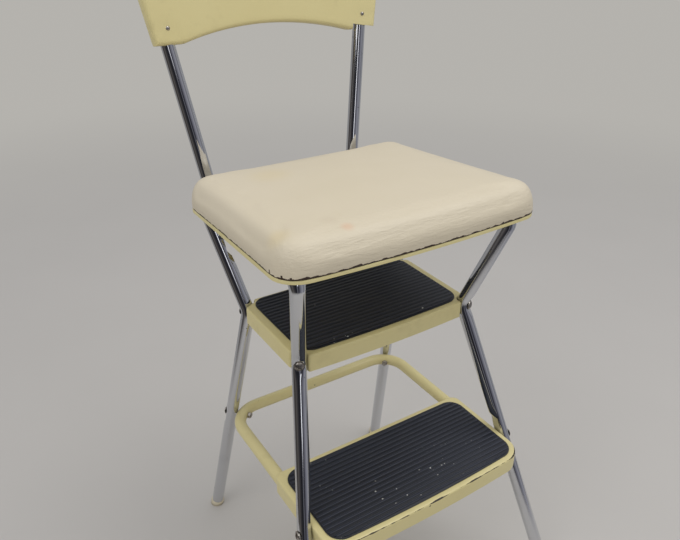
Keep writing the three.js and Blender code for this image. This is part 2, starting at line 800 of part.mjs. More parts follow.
const bracketOutline = [
  ...arc(new THREE.Vector2(hinge.y, hinge.z), eyeRadius, 0, Math.PI, 8),
  ...arc(new THREE.Vector2(bracketFoot.y, bracketFoot.z), bracketHalfWidth, Math.PI, Math.PI, 8),
];
const hingeBracket = without(
  sidePlate(bracketOutline, bracketInner, bracketThickness),
  [pinHole, bracketBolt.hole],
);

// A riveted pin through ear and bracket, with a head at each end.
const pinStart = new THREE.Vector3(earInner - touchGap, hinge.y, hinge.z);
const pinLength = bracketOuter - earInner + 2 * touchGap;
const hingePin = joined([
  screwSolid(pinStart, right, pinLength, screwRadius, pinHeadRadius, pinHeadHeight),
  rod(pinStart.clone().addScaledVector(right, pinLength), right, pinHeadRadius, pinHeadHeight),
]);

// Backrest screws run square to the panel, through its sheet into the post.
const panelLean = Math.atan(postLeanShare);
const panelBack = new THREE.Vector3(0, Math.cos(panelLean), -Math.sin(panelLean));
const panelFace = tubeRadius + touchGap + panelSheet;
const panelScrewSeats = panelScrewsBelowPost.map((drop) => {
  const beforePanel = postAt(postTopHeight - drop).addScaledVector(panelBack, -panelFace - touchGap);
  return beforePanel.addScaledVector(right, -panelScrewInward);
});
const panelScrews = panelScrewSeats.map((seat) => screwSolid(
  seat, panelBack, panelScrewLength, panelScrewRadius, panelScrewHeadRadius, panelScrewHeadHeight,
));
const panelScrewHoles = panelScrewSeats.map((seat) => (
  rod(seat, panelBack, panelScrewRadius + touchGap, panelScrewLength + touchGap)
));
const stepScrewPress = legPress(stepScrewPoint, right);
const sideTube = hollowTube(
  sideTubePoints,
  tubeRadius,
  [...kneePresses(frontKneeBend), lowerStepPress, stepScrewPress, railLapPress, bracketPress],
  [frontKneeBolt.hole, stepBolt.hole, lapBolt.hole, bracketBolt.hole, ...panelScrewHoles],
);

const rearLeg = hollowTube(
  rearLegPoints,
  tubeRadius,
  [...kneePresses(rearKneeBend), legPress(braceCrossing, braceOutward), legLapPress],
  [rearKneeBolt.hole, braceBolt.hole, rod(lapScrewSeat, right, screwRadius + touchGap, 3 * tubeRadius)],
);

// A foot glide: a lip under the tube's end, cut flat on the floor, and a plug
// that goes up into the tube.
function footGlide(foot, knee) {
  const along = knee.clone().sub(foot).normalize();
  const lip = tubeRadius + glideLip;
  const plug = tubeRadius - tubeWall - touchGap;
  const top = glideHeight + plugLength;
  const profile = [
    [0, -cutOverrun], [lip, -cutOverrun], [lip, glideHeight - glideEdge], [lip - glideEdge, glideHeight],
    [plug, glideHeight], [plug, top - glideEdge], [plug - glideEdge, top], [0, top],
  ].map(([across, height]) => new THREE.Vector2(across, height));
  const body = new THREE.LatheGeometry(profile, 16);
  body.rotateX(Math.PI / 2);
  const reach = 2 * (cutOverrun + lip);
  const ground = box(
    new THREE.Vector3(foot.x - reach, foot.y - reach, -reach),
    new THREE.Vector3(foot.x + reach, foot.y + reach, 0),
  );
  return solidOf(aimed(body, foot, along)).subtract(ground);
}

// Backrest: a dished panel with a flange turned back all round. A place on it
// is a share of its half width, a height on the posts' plane and a depth behind
// that plane.
function panelPoint(share, height, depth) {
  const post = postAt(height);
  const point = new THREE.Vector3((share * post.x) / panelPostShare, post.y, height);
  return point.addScaledVector(panelBack, depth);
}

const panelTop = postTopHeight + panelAbovePost;
const panelArchFoot = postTopHeight - panelArchBelowPost;
const panelCornerFoot = postTopHeight - panelCornerBelowPost;
const panelHalfWidth = postAt(panelCornerFoot).x / panelPostShare;
const faceRise = panelFace * Math.sin(panelLean);

function quarterDrop(radius, distance) {
  const missing = Math.max(0, radius - distance);
  return radius - Math.sqrt(radius ** 2 - missing ** 2);
}

function panelRing(share, sheet) {
  const outShare = share * (1 - sheet / panelHalfWidth);
  const fromSide = (1 - Math.abs(share)) * panelHalfWidth;
  const across = Math.abs(outShare) * panelHalfWidth;
  const arch = panelArchRise * Math.max(0, 1 - (across / panelArchHalfWidth) ** 2);
  const low = panelArchFoot - faceRise + arch + quarterDrop(panelBottomCorner, fromSide) + sheet;
  const high = panelTop - faceRise - panelTopCrown * outShare ** 2
    - quarterDrop(panelTopCorner, fromSide) - sheet;
  const curve = panelCurve * (1 - (outShare / panelPostShare) ** 2);
  const face = curve - panelFace + quarterDrop(panelEdge, fromSide) + sheet;
  const back = curve - panelFace + panelFlange + (sheet > 0 ? cutOverrun : 0);
  const edge = panelEdge - sheet;
  const soft = edge * (1 - Math.SQRT1_2);
  const levelShares = [0.25, 0.5, 0.75];
  const first = low + edge;
  const last = high - edge;
  return [
    [low, back], [low, face + edge], [low + soft, face + soft], [first, face],
    ...levelShares.map((level) => [first + level * (last - first), face]),
    [last, face], [high - soft, face + soft], [high, face + edge], [high, back],
  ].reverse().map(([height, depth]) => panelPoint(outShare, height, depth));
}

const edgeShares = [0, 0.12, 0.5, 1];
const topCornerShares = [0.3, 0.6, 1];
const innerShares = [0.774, 0.66, 0.54, 0.4, 0.2];
const halfPanelShares = [
  ...edgeShares.map((share) => 1 - (share * panelBottomCorner) / panelHalfWidth),
  ...topCornerShares.map((share) => 1 - (share * panelTopCorner) / panelHalfWidth),
  ...innerShares,
].sort((a, b) => a - b);
const panelShares = [...halfPanelShares.map((share) => -share).reverse(), 0, ...halfPanelShares];
const panelOutside = stack(panelShares.map((share) => panelRing(share, 0)));
const panelInside = stack(panelShares.map((share) => panelRing(share, panelSheet)));

// Below the posts' screws the flange's corners are cut square to the posts.
function cornerFootAt(spread) {
  return panelCornerFoot + (postAt(panelCornerFoot).x - spread) * postFlareShare;
}

function panelCorner() {
  const near = panelArchHalfWidth + panelNotch;
  const far = panelHalfWidth + cutOverrun;
  const outline = [
    new THREE.Vector2(near, panelArchFoot - cutOverrun), new THREE.Vector2(far, panelArchFoot - cutOverrun),
    new THREE.Vector2(far, cornerFootAt(far)), new THREE.Vector2(near, cornerFootAt(near)),
  ];
  const length = 8 * cutOverrun;
  const wedge = new THREE.ExtrudeGeometry(new THREE.Shape(outline), { depth: length, bevelEnabled: false });
  wedge.applyMatrix4(new THREE.Matrix4().makeBasis(right, up, new THREE.Vector3(0, -1, 0)));
  wedge.translate(0, postAt(panelCornerFoot).y + length / 2, 0);
  return solidOf(wedge);
}

const panelCornerCut = panelCorner();
const backrestPanel = without(panelOutside.subtract(panelInside), [
  panelCornerCut, mirrored(panelCornerCut),
  ...panelScrewHoles, ...panelScrewHoles.map(mirrored),
]);

// Seat solids, in the seat's own frame
function tapered(outline) {
  const middle = (seatFront + seatRear) / 2;
  return outline.map((point) => new THREE.Vector2(
    point.x * (1 - (seatTaper / seatHalfWidth) * ((point.y - middle) / (seatDepth / 2))),
    point.y,
  ));
}

const seatOutline = tapered(bowed(
  roundedOutline(rectangle(seatHalfWidth, seatFront, seatRear, seatCorner, 6, 3), 5),
  (seatFront + seatRear) / 2,
  seatHalfWidth,
  seatBow,
));

function panShell(sheet, foot) {
  return stack([
    ringAt(inset(seatOutline, sheet), foot),
    ringAt(inset(seatOutline, sheet), rimTop - rimRound - sheet),
    ringAt(inset(seatOutline, rimRound + sheet), rimTop - sheet),
    ringAt(inset(seatOutline, ledgeWidth + sheet), rimTop - sheet),
    ringAt(inset(seatOutline, ledgeWidth + sheet + rimRound), deckTop - sheet),
  ]);
}

const earRoot = deckUnderside + panSheet / 2;
const ear = sidePlate([
  new THREE.Vector2(earHalfWidth, earRoot),
  new THREE.Vector2(-earHalfWidth, earRoot),
  ...arc(new THREE.Vector2(0, 0), eyeRadius, Math.PI, Math.PI, 6),
], earInner, earThickness);
const earHoleStart = new THREE.Vector3(earInner - cutOverrun, 0, 0);
const earHole = rod(earHoleStart, right, screwRadius + touchGap, earThickness + 2 * cutOverrun);
const bracketNotch = box(
  new THREE.Vector3(bracketInner - touchGap, eyeRadius, rimFoot - cutOverrun),
  new THREE.Vector3(bracketOuter + pinHeadHeight, seatRear + cutOverrun, deckUnderside - touchGap),
);

function boardScrewAt(reach) {
  const place = new THREE.Vector3(seatHalfWidth - boardScrewInset, reach, deckUnderside - touchGap);
  const length = panSheet + boardThickness - touchGap;
  return {
    screw: screwSolid(place, up, length, boardScrewRadius, 2 * boardScrewRadius, boardScrewRadius),
    hole: rod(place, up, boardScrewRadius + touchGap, panSheet + boardThickness),
  };
}

const frontBoardScrew = boardScrewAt(seatFront + boardScrewInset);
const rearBoardScrew = boardScrewAt(seatRear - boardScrewInset);
const boardScrews = { front: frontBoardScrew.screw, rear: rearBoardScrew.screw };
const boardScrewHoles = [frontBoardScrew, rearBoardScrew].flatMap(({ hole }) => [hole, mirrored(hole)]);
const seatPan = without(
  joined([panShell(0, rimFoot).subtract(panShell(panSheet, rimFoot - cutOverrun)), ear, mirrored(ear)]),
  [earHole, mirrored(earHole), bracketNotch, mirrored(bracketNotch), ...boardScrewHoles],
);
const boardBottom = deckTop + touchGap;
const boardOutline = inset(seatOutline, boardInset);
const seatBoard = without(prism(boardOutline, boardBottom, boardThickness), boardScrewHoles);

// The cushion: sides drawn in a little between the corners, a round shoulder
// and a crowned top, hollow below for the deck and the board.
function drawnIn(outline, amount) {
  const middle = (seatFront + seatRear) / 2;
  return outline.map((point) => {
    const across = point.x / seatHalfWidth;
    const ahead = Math.min(1, Math.abs((point.y - middle) / (seatDepth / 2)));
    const squeeze = (amount / seatHalfWidth) * (1 - ahead ** 2);
    const rearPull = point.y > middle ? amount * Math.max(0, 1 - across ** 2) * ahead : 0;
    return new THREE.Vector2(point.x * (1 - squeeze), point.y - rearPull);
  });
}

function cushionSolid() {
  const bottom = rimTop + touchGap;
  const side = drawnIn(inset(seatOutline, cushionInset), cushionDraw);
  const middle = new THREE.Vector2(0, (seatFront + seatRear) / 2);
  const shoulderFoot = bottom + cushionSide;
  const shoulderTop = shoulderFoot + cushionRoundHeight;
  const shoulderShares = [0, 0.22, 0.44, 0.64, 0.83, 1];
  const crownShares = [0.3, 0.65];
  const rings = [ringAt(side, bottom)];
  for (const share of shoulderShares) {
    const angle = (share * Math.PI) / 2;
    rings.push(ringAt(
      inset(side, cushionRoundWidth * (1 - Math.cos(angle))),
      shoulderFoot + cushionRoundHeight * Math.sin(angle),
    ));
  }
  const shoulder = inset(side, cushionRoundWidth);
  for (const share of crownShares) {
    const height = shoulderTop + cushionCrown * (1 - (1 - share) ** 2);
    rings.push(ringAt(shoulder.map((point) => point.clone().lerp(middle, share)), height));
  }
  return stack(rings);
}

const seatCushion = without(cushionSolid(), [
  prism(inset(seatOutline, ledgeWidth - touchGap), rimFoot, deckTop + touchGap - rimFoot),
  prism(inset(boardOutline, -touchGap), deckTop, 2 * touchGap + boardThickness),
]);
const bumperPlace = topBendPeak.clone().sub(hinge);
const bumperReach = bumperPlace.dot(seatBack);
const bumperCorner = new THREE.Vector3(
  bumperPlace.x - bumperLength / 2, bumperReach - bumperWidth / 2, bumperUnderside,
);
const bumperSize = new THREE.Vector3(bumperLength, bumperWidth, bumperThickness);
const seatBumper = box(bumperCorner, bumperCorner.clone().add(bumperSize));

// Assembly
const chair = new THREE.Group();
chair.name = "step_stool_chair";
const pairs = [
  ["side_tube", sideTube, chrome],
  ["rear_leg", rearLeg, chrome],
  ["foot_glide_front", footGlide(frontFootPoint, frontKneePoint), creamPlastic],
  ["foot_glide_rear", footGlide(rearFootPoint, rearKneePoint), creamPlastic],
  ["hinge_bracket", hingeBracket, zinc],
  ["hinge_pin", hingePin, zinc],
  ["knee_screw_front", frontKneeBolt.screw, zinc],
  ["knee_screw_rear", rearKneeBolt.screw, zinc],
  ["knee_nut_front", frontKneeBolt.nut, zinc],
  ["knee_nut_rear", rearKneeBolt.nut, zinc],
  ["step_screw", stepBolt.screw, zinc],
  ["step_nut", stepBolt.nut, zinc],
  ["brace_screw", braceBolt.screw, zinc],
  ["brace_nut", braceBolt.nut, zinc],
  ["lap_screw", lapBolt.screw, zinc],
  ["lap_nut", lapBolt.nut, zinc],
  ["bracket_screw", bracketBolt.screw, zinc],
  ["bracket_nut", bracketBolt.nut, zinc],
  ["backrest_screw_lower", panelScrews[0], zinc],
  ["backrest_screw_upper", panelScrews[1], zinc],
];
for (const [name, solid, look] of pairs) {
  chair.add(namedMesh(`${name}_right`, solid, look));
  chair.add(namedMesh(`${name}_left`, mirrored(solid), look));
}
chair.add(
  namedMesh("step_brace", stepBrace, yellowPaint),
  namedMesh("upper_step", upperStep, yellowPaint),
  namedMesh("upper_step_mat", upperMat, blackRubber),
  namedMesh("lower_step", lowerStep, yellowPaint),
  namedMesh("lower_step_mat", lowerMat, blackRubber),
  namedMesh("backrest_panel", backrestPanel, yellowPaint),
);

const seat = new THREE.Group();
seat.position.copy(hinge);
seat.rotation.x = -seatTilt;
seat.add(
  namedMesh("seat_pan", seatPan, yellowPaint),
  namedMesh("seat_board", seatBoard, plywood),
  namedMesh("seat_cushion", seatCushion, creamVinyl),
);
const seatPairs = [
  ["seat_bumper", seatBumper, blackRubber],
  ["board_screw_front", boardScrews.front, zinc],
  ["board_screw_rear", boardScrews.rear, zinc],
];
for (const [name, solid, look] of seatPairs) {
  seat.add(namedMesh(`${name}_right`, solid, look));
  seat.add(namedMesh(`${name}_left`, mirrored(solid), look));
}
chair.add(seat);

// The origin is on the floor, under the middle of the chair's box.
chair.updateMatrixWorld(true);
const bounds = new THREE.Box3().setFromObject(chair, true);
chair.position.y = -(bounds.min.y + bounds.max.y) / 2;

export default chair;
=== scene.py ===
import json
import math

import bpy
import numpy as np
from mathutils import Matrix, Quaternion, Vector


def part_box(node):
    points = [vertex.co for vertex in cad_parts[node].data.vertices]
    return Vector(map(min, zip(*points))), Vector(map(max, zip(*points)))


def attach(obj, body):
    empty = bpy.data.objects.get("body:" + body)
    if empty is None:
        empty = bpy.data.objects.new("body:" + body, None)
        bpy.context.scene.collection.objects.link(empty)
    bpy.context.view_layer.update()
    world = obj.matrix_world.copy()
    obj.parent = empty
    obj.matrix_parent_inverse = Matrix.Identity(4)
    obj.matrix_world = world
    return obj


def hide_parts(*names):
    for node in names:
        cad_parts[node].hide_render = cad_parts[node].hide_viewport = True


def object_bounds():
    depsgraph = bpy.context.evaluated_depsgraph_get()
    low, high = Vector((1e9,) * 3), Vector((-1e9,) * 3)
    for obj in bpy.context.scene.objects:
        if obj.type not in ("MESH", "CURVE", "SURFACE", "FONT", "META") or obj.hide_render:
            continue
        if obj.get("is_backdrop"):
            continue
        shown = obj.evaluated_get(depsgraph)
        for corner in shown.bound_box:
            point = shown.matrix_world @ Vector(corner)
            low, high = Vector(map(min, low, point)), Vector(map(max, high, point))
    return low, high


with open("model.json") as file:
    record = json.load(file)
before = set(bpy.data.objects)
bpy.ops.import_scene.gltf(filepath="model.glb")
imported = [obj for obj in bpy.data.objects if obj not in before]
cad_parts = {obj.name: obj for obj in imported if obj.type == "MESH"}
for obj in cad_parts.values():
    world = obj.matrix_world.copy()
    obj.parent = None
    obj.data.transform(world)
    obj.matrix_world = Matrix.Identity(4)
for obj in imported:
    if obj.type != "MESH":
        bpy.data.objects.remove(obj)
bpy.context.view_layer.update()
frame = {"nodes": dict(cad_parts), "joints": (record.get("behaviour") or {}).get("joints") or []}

# The chair is seen from its front left corner, a little above the seat. Lengths are metres, +Z is
# up, the chair faces -Y, and places along Y are counted from the seat's hinge.
hinge = Vector(frame["joints"][0]["pos_m"])
camera_place = Vector((-0.45683, hinge.y - 0.80501, 0.92341))
camera_turn = math.radians(-32.943)
camera_rise = math.radians(62.019)
camera_roll = math.radians(0.629)
camera_lens = 35.37

bpy.ops.object.select_all(action="DESELECT")
bpy.ops.object.camera_add(location=camera_place)
camera = bpy.context.active_object
camera.rotation_mode = "QUATERNION"
camera.rotation_quaternion = (
    Quaternion((0, 0, 1), camera_turn)
    @ Quaternion((1, 0, 0), camera_rise)
    @ Quaternion((0, 0, 1), camera_roll)
)
camera.data.lens = camera_lens
bpy.context.scene.camera = camera
bpy.context.scene.view_settings.view_transform = "Standard"


# The studio: a pale floor that fades into a pale background, two soft lamps and a room that shows
# in reflections alone, with a dark side, a window and grey walls.
backdrop_color = (0.46, 0.447, 0.42, 1)
floor_color = (0.53, 0.505, 0.475, 1)
ambient_color = (0.62, 0.63, 0.65, 1)
floor_radius = 9.0
floor_fade = (1.1, 3.2)
# Stops round the room: how far round from the back, as a share of a turn, and how bright.
room_shares = [
    (0.00, (0.30, 0.30, 0.30)), (0.13, (0.33, 0.32, 0.31)), (0.17, (0.09, 0.08, 0.075)),
    (0.22, (0.05, 0.045, 0.042)), (0.255, (0.12, 0.11, 0.10)), (0.30, (0.06, 0.055, 0.055)),
    (0.36, (0.022, 0.022, 0.026)), (0.41, (0.014, 0.014, 0.018)), (0.425, (0.15, 0.15, 0.17)),
    (0.445, (0.12, 0.12, 0.14)), (0.46, (0.02, 0.02, 0.025)), (0.49, (0.06, 0.06, 0.075)),
    (0.53, (0.17, 0.17, 0.20)), (0.62, (0.34, 0.34, 0.37)), (0.66, (0.17, 0.17, 0.19)),
    (0.72, (0.36, 0.36, 0.37)), (1.00, (0.30, 0.30, 0.30)),
]
window_share = 0.452
window_half = 0.011
window_edge = 0.7
window_sill = (0.0, 0.06)
window_color = (1.7, 1.7, 1.75, 1)
ceiling_rise = (0.35, 0.8)
ceiling_color = (0.55, 0.55, 0.55, 1)
mirror_floor = (0.45, 0.85)
# The lamps: name, place, size and power. Both look at the chair's middle.
lamps = [("key_lamp", (0.8, -0.5, 2.4), 1.5, 18.5), ("fill_lamp", (-1.6, -0.4, 1.9), 1.4, 9)]
lamp_target = Vector((0, 0, 0.5))


def add_node(tree, kind, values=None, **settings):
    node = tree.nodes.new(kind)
    for name, value in settings.items():
        setattr(node, name, value)
    for socket, value in (values or {}).items():
        if isinstance(value, bpy.types.NodeSocket):
            tree.links.new(value, node.inputs[socket])
        else:
            node.inputs[socket].default_value = value
    return node


def mixed(tree, share, first, second):
    node = add_node(tree, "ShaderNodeMix", {0: share, 6: first, 7: second}, data_type="RGBA")
    return node.outputs[2]


def calculated(tree, operation, *values):
    return add_node(tree, "ShaderNodeMath", dict(enumerate(values)), operation=operation).outputs[0]


def product(tree, first, second):
    return calculated(tree, "MULTIPLY", first, second)


def ramped(tree, value, start, end, low=0.0, high=1.0, smooth=False):
    """Goes from low, where the value is start, to high, where it is end."""
    return add_node(tree, "ShaderNodeMapRange", {
        "Value": value, "From Min": start, "From Max": end, "To Min": low, "To Max": high,
    }, interpolation_type="SMOOTHSTEP" if smooth else "LINEAR").outputs["Result"]


def noise(tree, place, scale, detail, **values):
    values.update(Vector=place, Scale=scale, Detail=detail)
    return add_node(tree, "ShaderNodeTexNoise", values).outputs[0]


def split(tree, place):
    return add_node(tree, "ShaderNodeSeparateXYZ", {"Vector": place}).outputs


world = bpy.data.worlds.new("studio")
bpy.context.scene.world = world
world.use_nodes = True
room = world.node_tree
direction = add_node(room, "ShaderNodeTexCoord").outputs["Generated"]
across = split(room, direction)
round_turn = calculated(room, "ARCTAN2", across["X"], product(room, across["Y"], -1.0))
round_share = calculated(room, "MULTIPLY_ADD", round_turn, 0.5 / math.pi, 0.5)
bands = add_node(room, "ShaderNodeValToRGB", {"Fac": round_share})
for share, color in room_shares[1:-1]:
    bands.color_ramp.elements.new(share)
for element, (share, color) in zip(bands.color_ramp.elements, room_shares):
    element.position = share
    element.color = (*color, 1)
off_window = calculated(room, "ABSOLUTE", calculated(room, "SUBTRACT", round_share, window_share))
in_window = ramped(room, off_window, window_half, window_half * window_edge)
window_light = product(room, in_window, ramped(room, across["Z"], *window_sill))
walls = mixed(room, window_light, bands.outputs["Color"], window_color)
panorama = mixed(room, ramped(room, across["Z"], *ceiling_rise), walls, ceiling_color)
rays = add_node(room, "ShaderNodeLightPath").outputs
mirrored_rays = calculated(room, "MAXIMUM", rays["Is Glossy Ray"], rays["Is Transmission Ray"])
lit = mixed(room, mirrored_rays, ambient_color, panorama)
seen = mixed(room, rays["Is Camera Ray"], lit, backdrop_color)
room.links.new(seen, room.nodes["Background"].inputs["Color"])

bpy.ops.mesh.primitive_circle_add(vertices=96, radius=floor_radius, fill_type="NGON")
floor = bpy.context.active_object
floor.name = "studio_floor"
floor_look = bpy.data.materials.new("pale_floor")
floor_look.use_nodes = True
tree = floor_look.node_tree
place = add_node(tree, "ShaderNodeTexCoord").outputs["Object"]
distance = add_node(tree, "ShaderNodeVectorMath", {0: place}, operation="LENGTH").outputs["Value"]
fade = ramped(tree, distance, *floor_fade, smooth=True)
seen_fade = product(tree, fade, add_node(tree, "ShaderNodeLightPath").outputs["Is Camera Ray"])
darker_floor = (*(0.94 * value for value in floor_color[:3]), 1)
floor_shader = tree.nodes["Principled BSDF"]
speckled = mixed(tree, noise(tree, place, 3.0, 6.0), floor_color, darker_floor)
tree.links.new(speckled, floor_shader.inputs["Base Color"])
floor_shader.inputs["Roughness"].default_value = 0.6
glow = add_node(tree, "ShaderNodeEmission", {"Color": backdrop_color})
blended = add_node(tree, "ShaderNodeMixShader", {
    0: seen_fade, 1: floor_shader.outputs[0], 2: glow.outputs[0],
})
past_mirror = ramped(tree, distance, *mirror_floor, smooth=True)
unmirrored = product(tree, past_mirror, add_node(tree, "ShaderNodeLightPath").outputs["Is Glossy Ray"])
clear = add_node(tree, "ShaderNodeBsdfTransparent")
parted = add_node(tree, "ShaderNodeMixShader", {
    0: unmirrored, 1: blended.outputs[0], 2: clear.outputs[0],
})
tree.links.new(parted.outputs[0], tree.nodes["Material Output"].inputs["Surface"])
floor.data.materials.append(floor_look)
floor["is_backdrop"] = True

for name, lamp_place, size, power in lamps:
    bpy.ops.object.light_add(type="AREA", location=lamp_place)
    lamp = bpy.context.active_object
    lamp.name = name
    lamp.data.size = size
    lamp.data.energy = power
    lamp.rotation_mode = "QUATERNION"
    lamp.rotation_quaternion = (Vector(lamp_place) - lamp_target).to_track_quat("Z", "Y")


# The finishes that several pieces share. Patches and specks are masks of worn places and of dirt;
# a coat of paint, plating or plastic then reads them in its colour and its roughness.
def shader_group(name, inputs, outputs):
    group = bpy.data.node_groups.new(name, "ShaderNodeTree")
    for socket_name, kind, value in inputs:
        socket = group.interface.new_socket(name=socket_name, in_out="INPUT", socket_type=kind)
        if value is not None:
            socket.default_value = value
    for socket_name, kind in outputs:
        group.interface.new_socket(name=socket_name, in_out="OUTPUT", socket_type=kind)
    return group, group.nodes.new("NodeGroupInput").outputs, group.nodes.new("NodeGroupOutput").inputs


patches, given, result = shader_group("worn_patches", [
    ("Place", "NodeSocketVector", None), ("Scale", "NodeSocketFloat", 20.0),
    ("Cover", "NodeSocketFloat", 0.3), ("Softness", "NodeSocketFloat", 0.1),
], [("Mask", "NodeSocketFloat")])
cloud = noise(patches, given["Place"], given["Scale"], 7.0, Roughness=0.62)
edge = calculated(patches, "SUBTRACT", 0.78, product(patches, given["Cover"], 0.55))
patch_mask = ramped(patches, cloud, edge, calculated(patches, "ADD", edge, given["Softness"]))
patches.links.new(patch_mask, result["Mask"])

specks, given, result = shader_group("fine_specks", [
    ("Place", "NodeSocketVector", None), ("Scale", "NodeSocketFloat", 200.0),
    ("Share", "NodeSocketFloat", 0.1), ("Size", "NodeSocketFloat", 0.25),
], [("Mask", "NodeSocketFloat")])
cells = add_node(specks, "ShaderNodeTexVoronoi", {"Vector": given["Place"], "Scale": given["Scale"]})
pick = add_node(specks, "ShaderNodeSeparateColor", {"Color": cells.outputs["Color"]}).outputs
picked = calculated(specks, "LESS_THAN", pick["Red"], given["Share"])
reach = product(specks, pick["Green"], given["Size"])
dot = calculated(specks, "LESS_THAN", cells.outputs["Distance"], reach)
specks.links.new(product(specks, picked, dot), result["Mask"])


def new_finish(name, **values):
    material = bpy.data.materials.new(name)
    material.use_nodes = True
    shader = material.node_tree.nodes["Principled BSDF"]
    for socket, value in values.items():
        shader.inputs[socket.replace("_", " ")].default_value = value
    place = add_node(material.node_tree, "ShaderNodeTexCoord").outputs["Object"]
    return material, material.node_tree, shader, place


def group_mask(tree, group, **values):
    return add_node(tree, "ShaderNodeGroup", values, node_tree=group).outputs["Mask"]


def feed(tree, source, shader, socket):
    tree.links.new(source, shader.inputs[socket])


def bumped(tree, shader, height, distance, strength):
    bump = add_node(tree, "ShaderNodeBump", {
        "Height": height, "Distance": distance, "Strength": strength,
    })
    feed(tree, bump.outputs["Normal"], shader, "Normal")


# Chrome plating, hazed in patches and pitted.
chrome_color = (0.66, 0.67, 0.70, 1)
chrome_haze = (0.54, 0.55, 0.58, 1)
pit_color = (0.10, 0.075, 0.05, 1)
chrome, tree, shader, place = new_finish("worn_chrome", Metallic=1.0)
haze = group_mask(tree, patches, Place=place, Scale=9.0, Cover=0.45, Softness=0.3)
pits = group_mask(tree, specks, Place=place, Scale=420.0, Share=0.008, Size=0.4)
plate = mixed(tree, haze, chrome_color, chrome_haze)
feed(tree, mixed(tree, pits, plate, pit_color), shader, "Base Color")
dull = calculated(tree, "MULTIPLY_ADD", haze, 0.10, 0.05)
feed(tree, calculated(tree, "MAXIMUM", dull, product(tree, pits, 0.6)), shader, "Roughness")
bumped(tree, shader, noise(tree, place, 26.0, 2.0), 0.0004, 0.25)

# Plain steel, dull and finely grimed.
steel_color = (0.44, 0.41, 0.37, 1)
steel_grime = (0.10, 0.065, 0.04, 1)
steel, tree, shader, place = new_finish("dull_steel", Metallic=1.0)
grime = group_mask(tree, patches, Place=place, Scale=240.0, Cover=0.5, Softness=0.25)
feed(tree, mixed(tree, grime, steel_color, steel_grime), shader, "Base Color")
feed(tree, calculated(tree, "MULTIPLY_ADD", grime, 0.35, 0.3), shader, "Roughness")
bumped(tree, shader, grime, 0.0002, 0.4)


# The frame's tubes: steel tube, 19 mm across and chromed, bent cold over formers and pressed
# flat wherever a step, the brace or another tube bears on it, with a screw through each.
tube_radius = 0.0095
tube_wall = 0.0012
tube_sides = 32
pressed_half = 0.0085
press_length = 0.019
press_fade = 0.006
glide_height = 0.0103
ring_spacing = 0.012
bend_step = math.radians(5)
knee_bend = 0.025
top_bend = 0.0105
rail_bend = 0.12
post_bend = 0.03
front_foot = Vector((0.217, hinge.y - 0.3764, 0))
front_knee = Vector((0.1327, hinge.y - 0.2144, 0.439))
front_top = Vector((0.1591, hinge.y - 0.2635, 0.5849))
rail_rear = Vector((0.1368, hinge.y - 0.0065, 0.542))
post_mark = Vector((0.1292, hinge.y + 0.0657, 0.620))
post_rise = Vector((0.1527, 0.1604, 1.0))
rear_foot = Vector((0.1709, hinge.y + 0.0289, 0))
rear_knee = Vector((0.130, hinge.y - 0.0661, 0.4325))
rear_top = Vector((0.1569, hinge.y - 0.018, 0.565))
post_foot = 0.532
post_top = 0.874
step_screw_height = 0.235
brace_height = 0.2323
lap_height = 0.54512
lap_half = 0.00707
step_press = 0.0486
rail_press = 0.0285
leg_press = 0.0588


def post_at(height):
    return post_mark + post_rise * (height - post_mark.z)


def at_height(low, high, height):
    return low.lerp(high, (height - low.z) / (high.z - low.z))


def pick_out(piece):
    bpy.ops.object.select_all(action="DESELECT")
    piece.select_set(True)
    bpy.context.view_layer.objects.active = piece


def finish_mesh(piece, name, material, body, angle=35):
    piece.name = name
    piece.data.name = name
    pick_out(piece)
    bpy.ops.object.transform_apply(location=True, rotation=True, scale=True)
    bpy.ops.object.shade_smooth_by_angle(angle=math.radians(angle))
    piece.data.materials.clear()
    piece.data.materials.append(material)
    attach(piece, body)


def apply_modifier(piece, kind, **settings):
    pick_out(piece)
    modifier = piece.modifiers.new(kind.lower(), kind)
    for name, value in settings.items():
        setattr(modifier, name, value)
    bpy.ops.object.modifier_apply(modifier=modifier.name)


def own_copy(piece):
    copy = piece.copy()
    copy.data = piece.data.copy()
    bpy.context.collection.objects.link(copy)
    return copy


def finish_pair(piece, name, material, node):
    """Finishes a piece of the frame's right side, and a mirrored copy of it for the left one."""
    finish_mesh(piece, f"{name}_right", material, "frame")
    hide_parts(f"{node}_right")
    copy = own_copy(piece)
    copy.data.transform(Matrix.Scale(-1, 4, Vector((1, 0, 0))))
    copy.data.flip_normals()
    finish_mesh(copy, f"{name}_left", material, "frame")
    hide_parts(f"{node}_left")


def standing(place, direction):
    """The turn and the move that stand a piece's Z axis at a place, along a direction."""
    return Matrix.Translation(place) @ direction.to_track_quat("Z", "Y").to_matrix().to_4x4()


def bend_rings(corners):
    """Turns corners, each a place and a bend's radius, into moves: a "run" with its vector, or a
    "turn" with its centre, axis and angle."""
    moves = []
    here = corners[0][0]
    for index in range(1, len(corners) - 1):
        corner, radius = corners[index]
        back = (corners[index - 1][0] - corner).normalized()
        ahead = (corners[index + 1][0] - corner).normalized()
        half = back.angle(ahead) / 2
        start = corner + back * (radius / math.tan(half))
        centre = corner + (back + ahead).normalized() * (radius / math.sin(half))
        moves.append(("run", start - here))
        moves.append(("turn", centre, back.cross(ahead).normalized(), math.pi - 2 * half))
        here = corner + ahead * (radius / math.tan(half))
    moves.append(("run", corners[-1][0] - here))
    return moves


def extrude(move):
    bpy.ops.mesh.extrude_region_move(TRANSFORM_OT_translate={"value": move})


